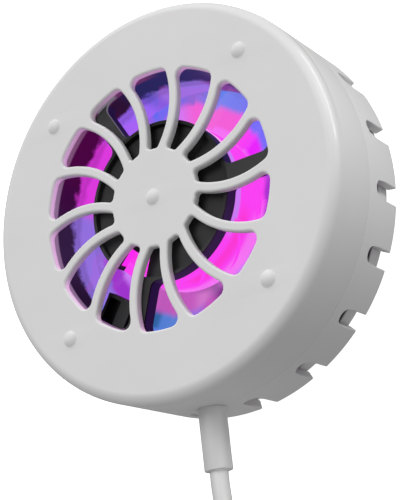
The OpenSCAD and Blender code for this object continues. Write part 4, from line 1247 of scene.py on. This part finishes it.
# Own colour and strength of the glow of those that the hub's lamps flood
LIT_NODES = {"rotor_magnet": ((0.05, 0.05, 0.055), 0.95), "rotor_cup": ((0.05, 0.05, 0.055), 0.95),
             "stator_board": ((0.05, 0.10, 0.06), 0.95), "fan_wires": ((0.05, 0.05, 0.05), 0.85)}
lit_nodes = {name: lit_metal(name + "_lit", *how) for name, how in LIT_NODES.items()}


def finish_nodes():
    slots = {part["node"]: part["material_slot"] for part in frame["record"]["subparts"]}
    for name, obj in nodes.items():
        if obj.hide_render:
            continue
        slot = slots[name]
        obj.data.materials.clear()
        obj.data.materials.append(lit_nodes.get(name, finishes[slot]))
        if name in NODE_BEVELS:
            join = obj.modifiers.new("flats", "DECIMATE")
            join.decimate_type, join.angle_limit = "DISSOLVE", math.radians(FLAT_ANGLE)
            bevel(obj, NODE_BEVELS[name], 2)


finish_nodes()


# Floor and light, in metres and watts
def make_floor():
    mesh = bpy.data.meshes.new("floor")
    half = 3.0
    corners = [(-half, -half, 0), (half, -half, 0), (half, half, 0), (-half, half, 0)]
    mesh.from_pydata(corners, [], [(0, 1, 2, 3)])
    floor = bpy.data.objects.new("floor", mesh)
    floor.location.z = -0.0002
    scene.collection.objects.link(floor)
    m = Nodes("floor_white")
    m.colour(m.mottle(m.noise(3, 2), (0.94, 0.94, 0.94), (0.97, 0.97, 0.97)))
    m.set(Roughness=0.9, Emission_Color=(1, 1, 1, 1), Emission_Strength=0.92)
    mesh.materials.append(m.material)
    floor.visible_diffuse = False
    floor.visible_glossy = False


def area_light(name, place, target, size, power, spread=180):
    data = bpy.data.lights.new(name, "AREA")
    data.shape, data.size, data.energy, data.spread = "DISK", size, power, math.radians(spread)
    light = bpy.data.objects.new(name, data)
    light.location = place
    light.rotation_euler = (Vector(target) - Vector(place)).to_track_quat("-Z", "Y").to_euler()
    light.visible_camera = False
    scene.collection.objects.link(light)
    return light


def make_strip():
    """A low, wide strip that only shows as a line of shine on the front edge."""
    strip = area_light("strip", (0.80, 0.60, 0.075), EDGE_MIDDLE, 0.9, 2.7)
    strip.data.shape, strip.data.size_y = "RECTANGLE", 0.05
    strip.visible_diffuse = False


def make_world():
    """An even fill from all round."""
    world = bpy.data.worlds.new("studio")
    scene.world = world
    world.use_nodes = True
    background = world.node_tree.nodes["Background"]
    background.inputs["Color"].default_value = (1, 1, 1, 1)
    background.inputs["Strength"].default_value = 0.385


BODY_MIDDLE = (0, 0, 0.01)
EDGE_MIDDLE = (0, 0, 0.012)
CORD_MIDDLE = (0, -0.0435, 0.009)
make_floor()
make_strip()
# Two wide soft lights above and behind, one from the corner, and small ones beside the wall and over the cord
area_light("key", (-0.336, 0.721, 1.835), BODY_MIDDLE, 1.2, 15.6)
area_light("back", (-0.419, 1.818, 0.717), BODY_MIDDLE, 1.0, 16.4)
area_light("corner", (1.158, 1.158, 1.147), BODY_MIDDLE, 0.8, 4.7)
area_light("side", (0.0698, 0.0128, 0.0176), EDGE_MIDDLE, 0.012, 0.0091)
area_light("cord_fill", (0.058, -0.060, 0.036), CORD_MIDDLE, 0.012, 0.00034, 30)
make_world()
# The lit pieces under the slots don't show in reflections
for lit_name in ("impeller", "heat_sink", "heat_sink_screws", "light_ring"):
    nodes[lit_name].visible_glossy = False
scene.view_settings.view_transform = "Standard"
scene.view_settings.look = "None"
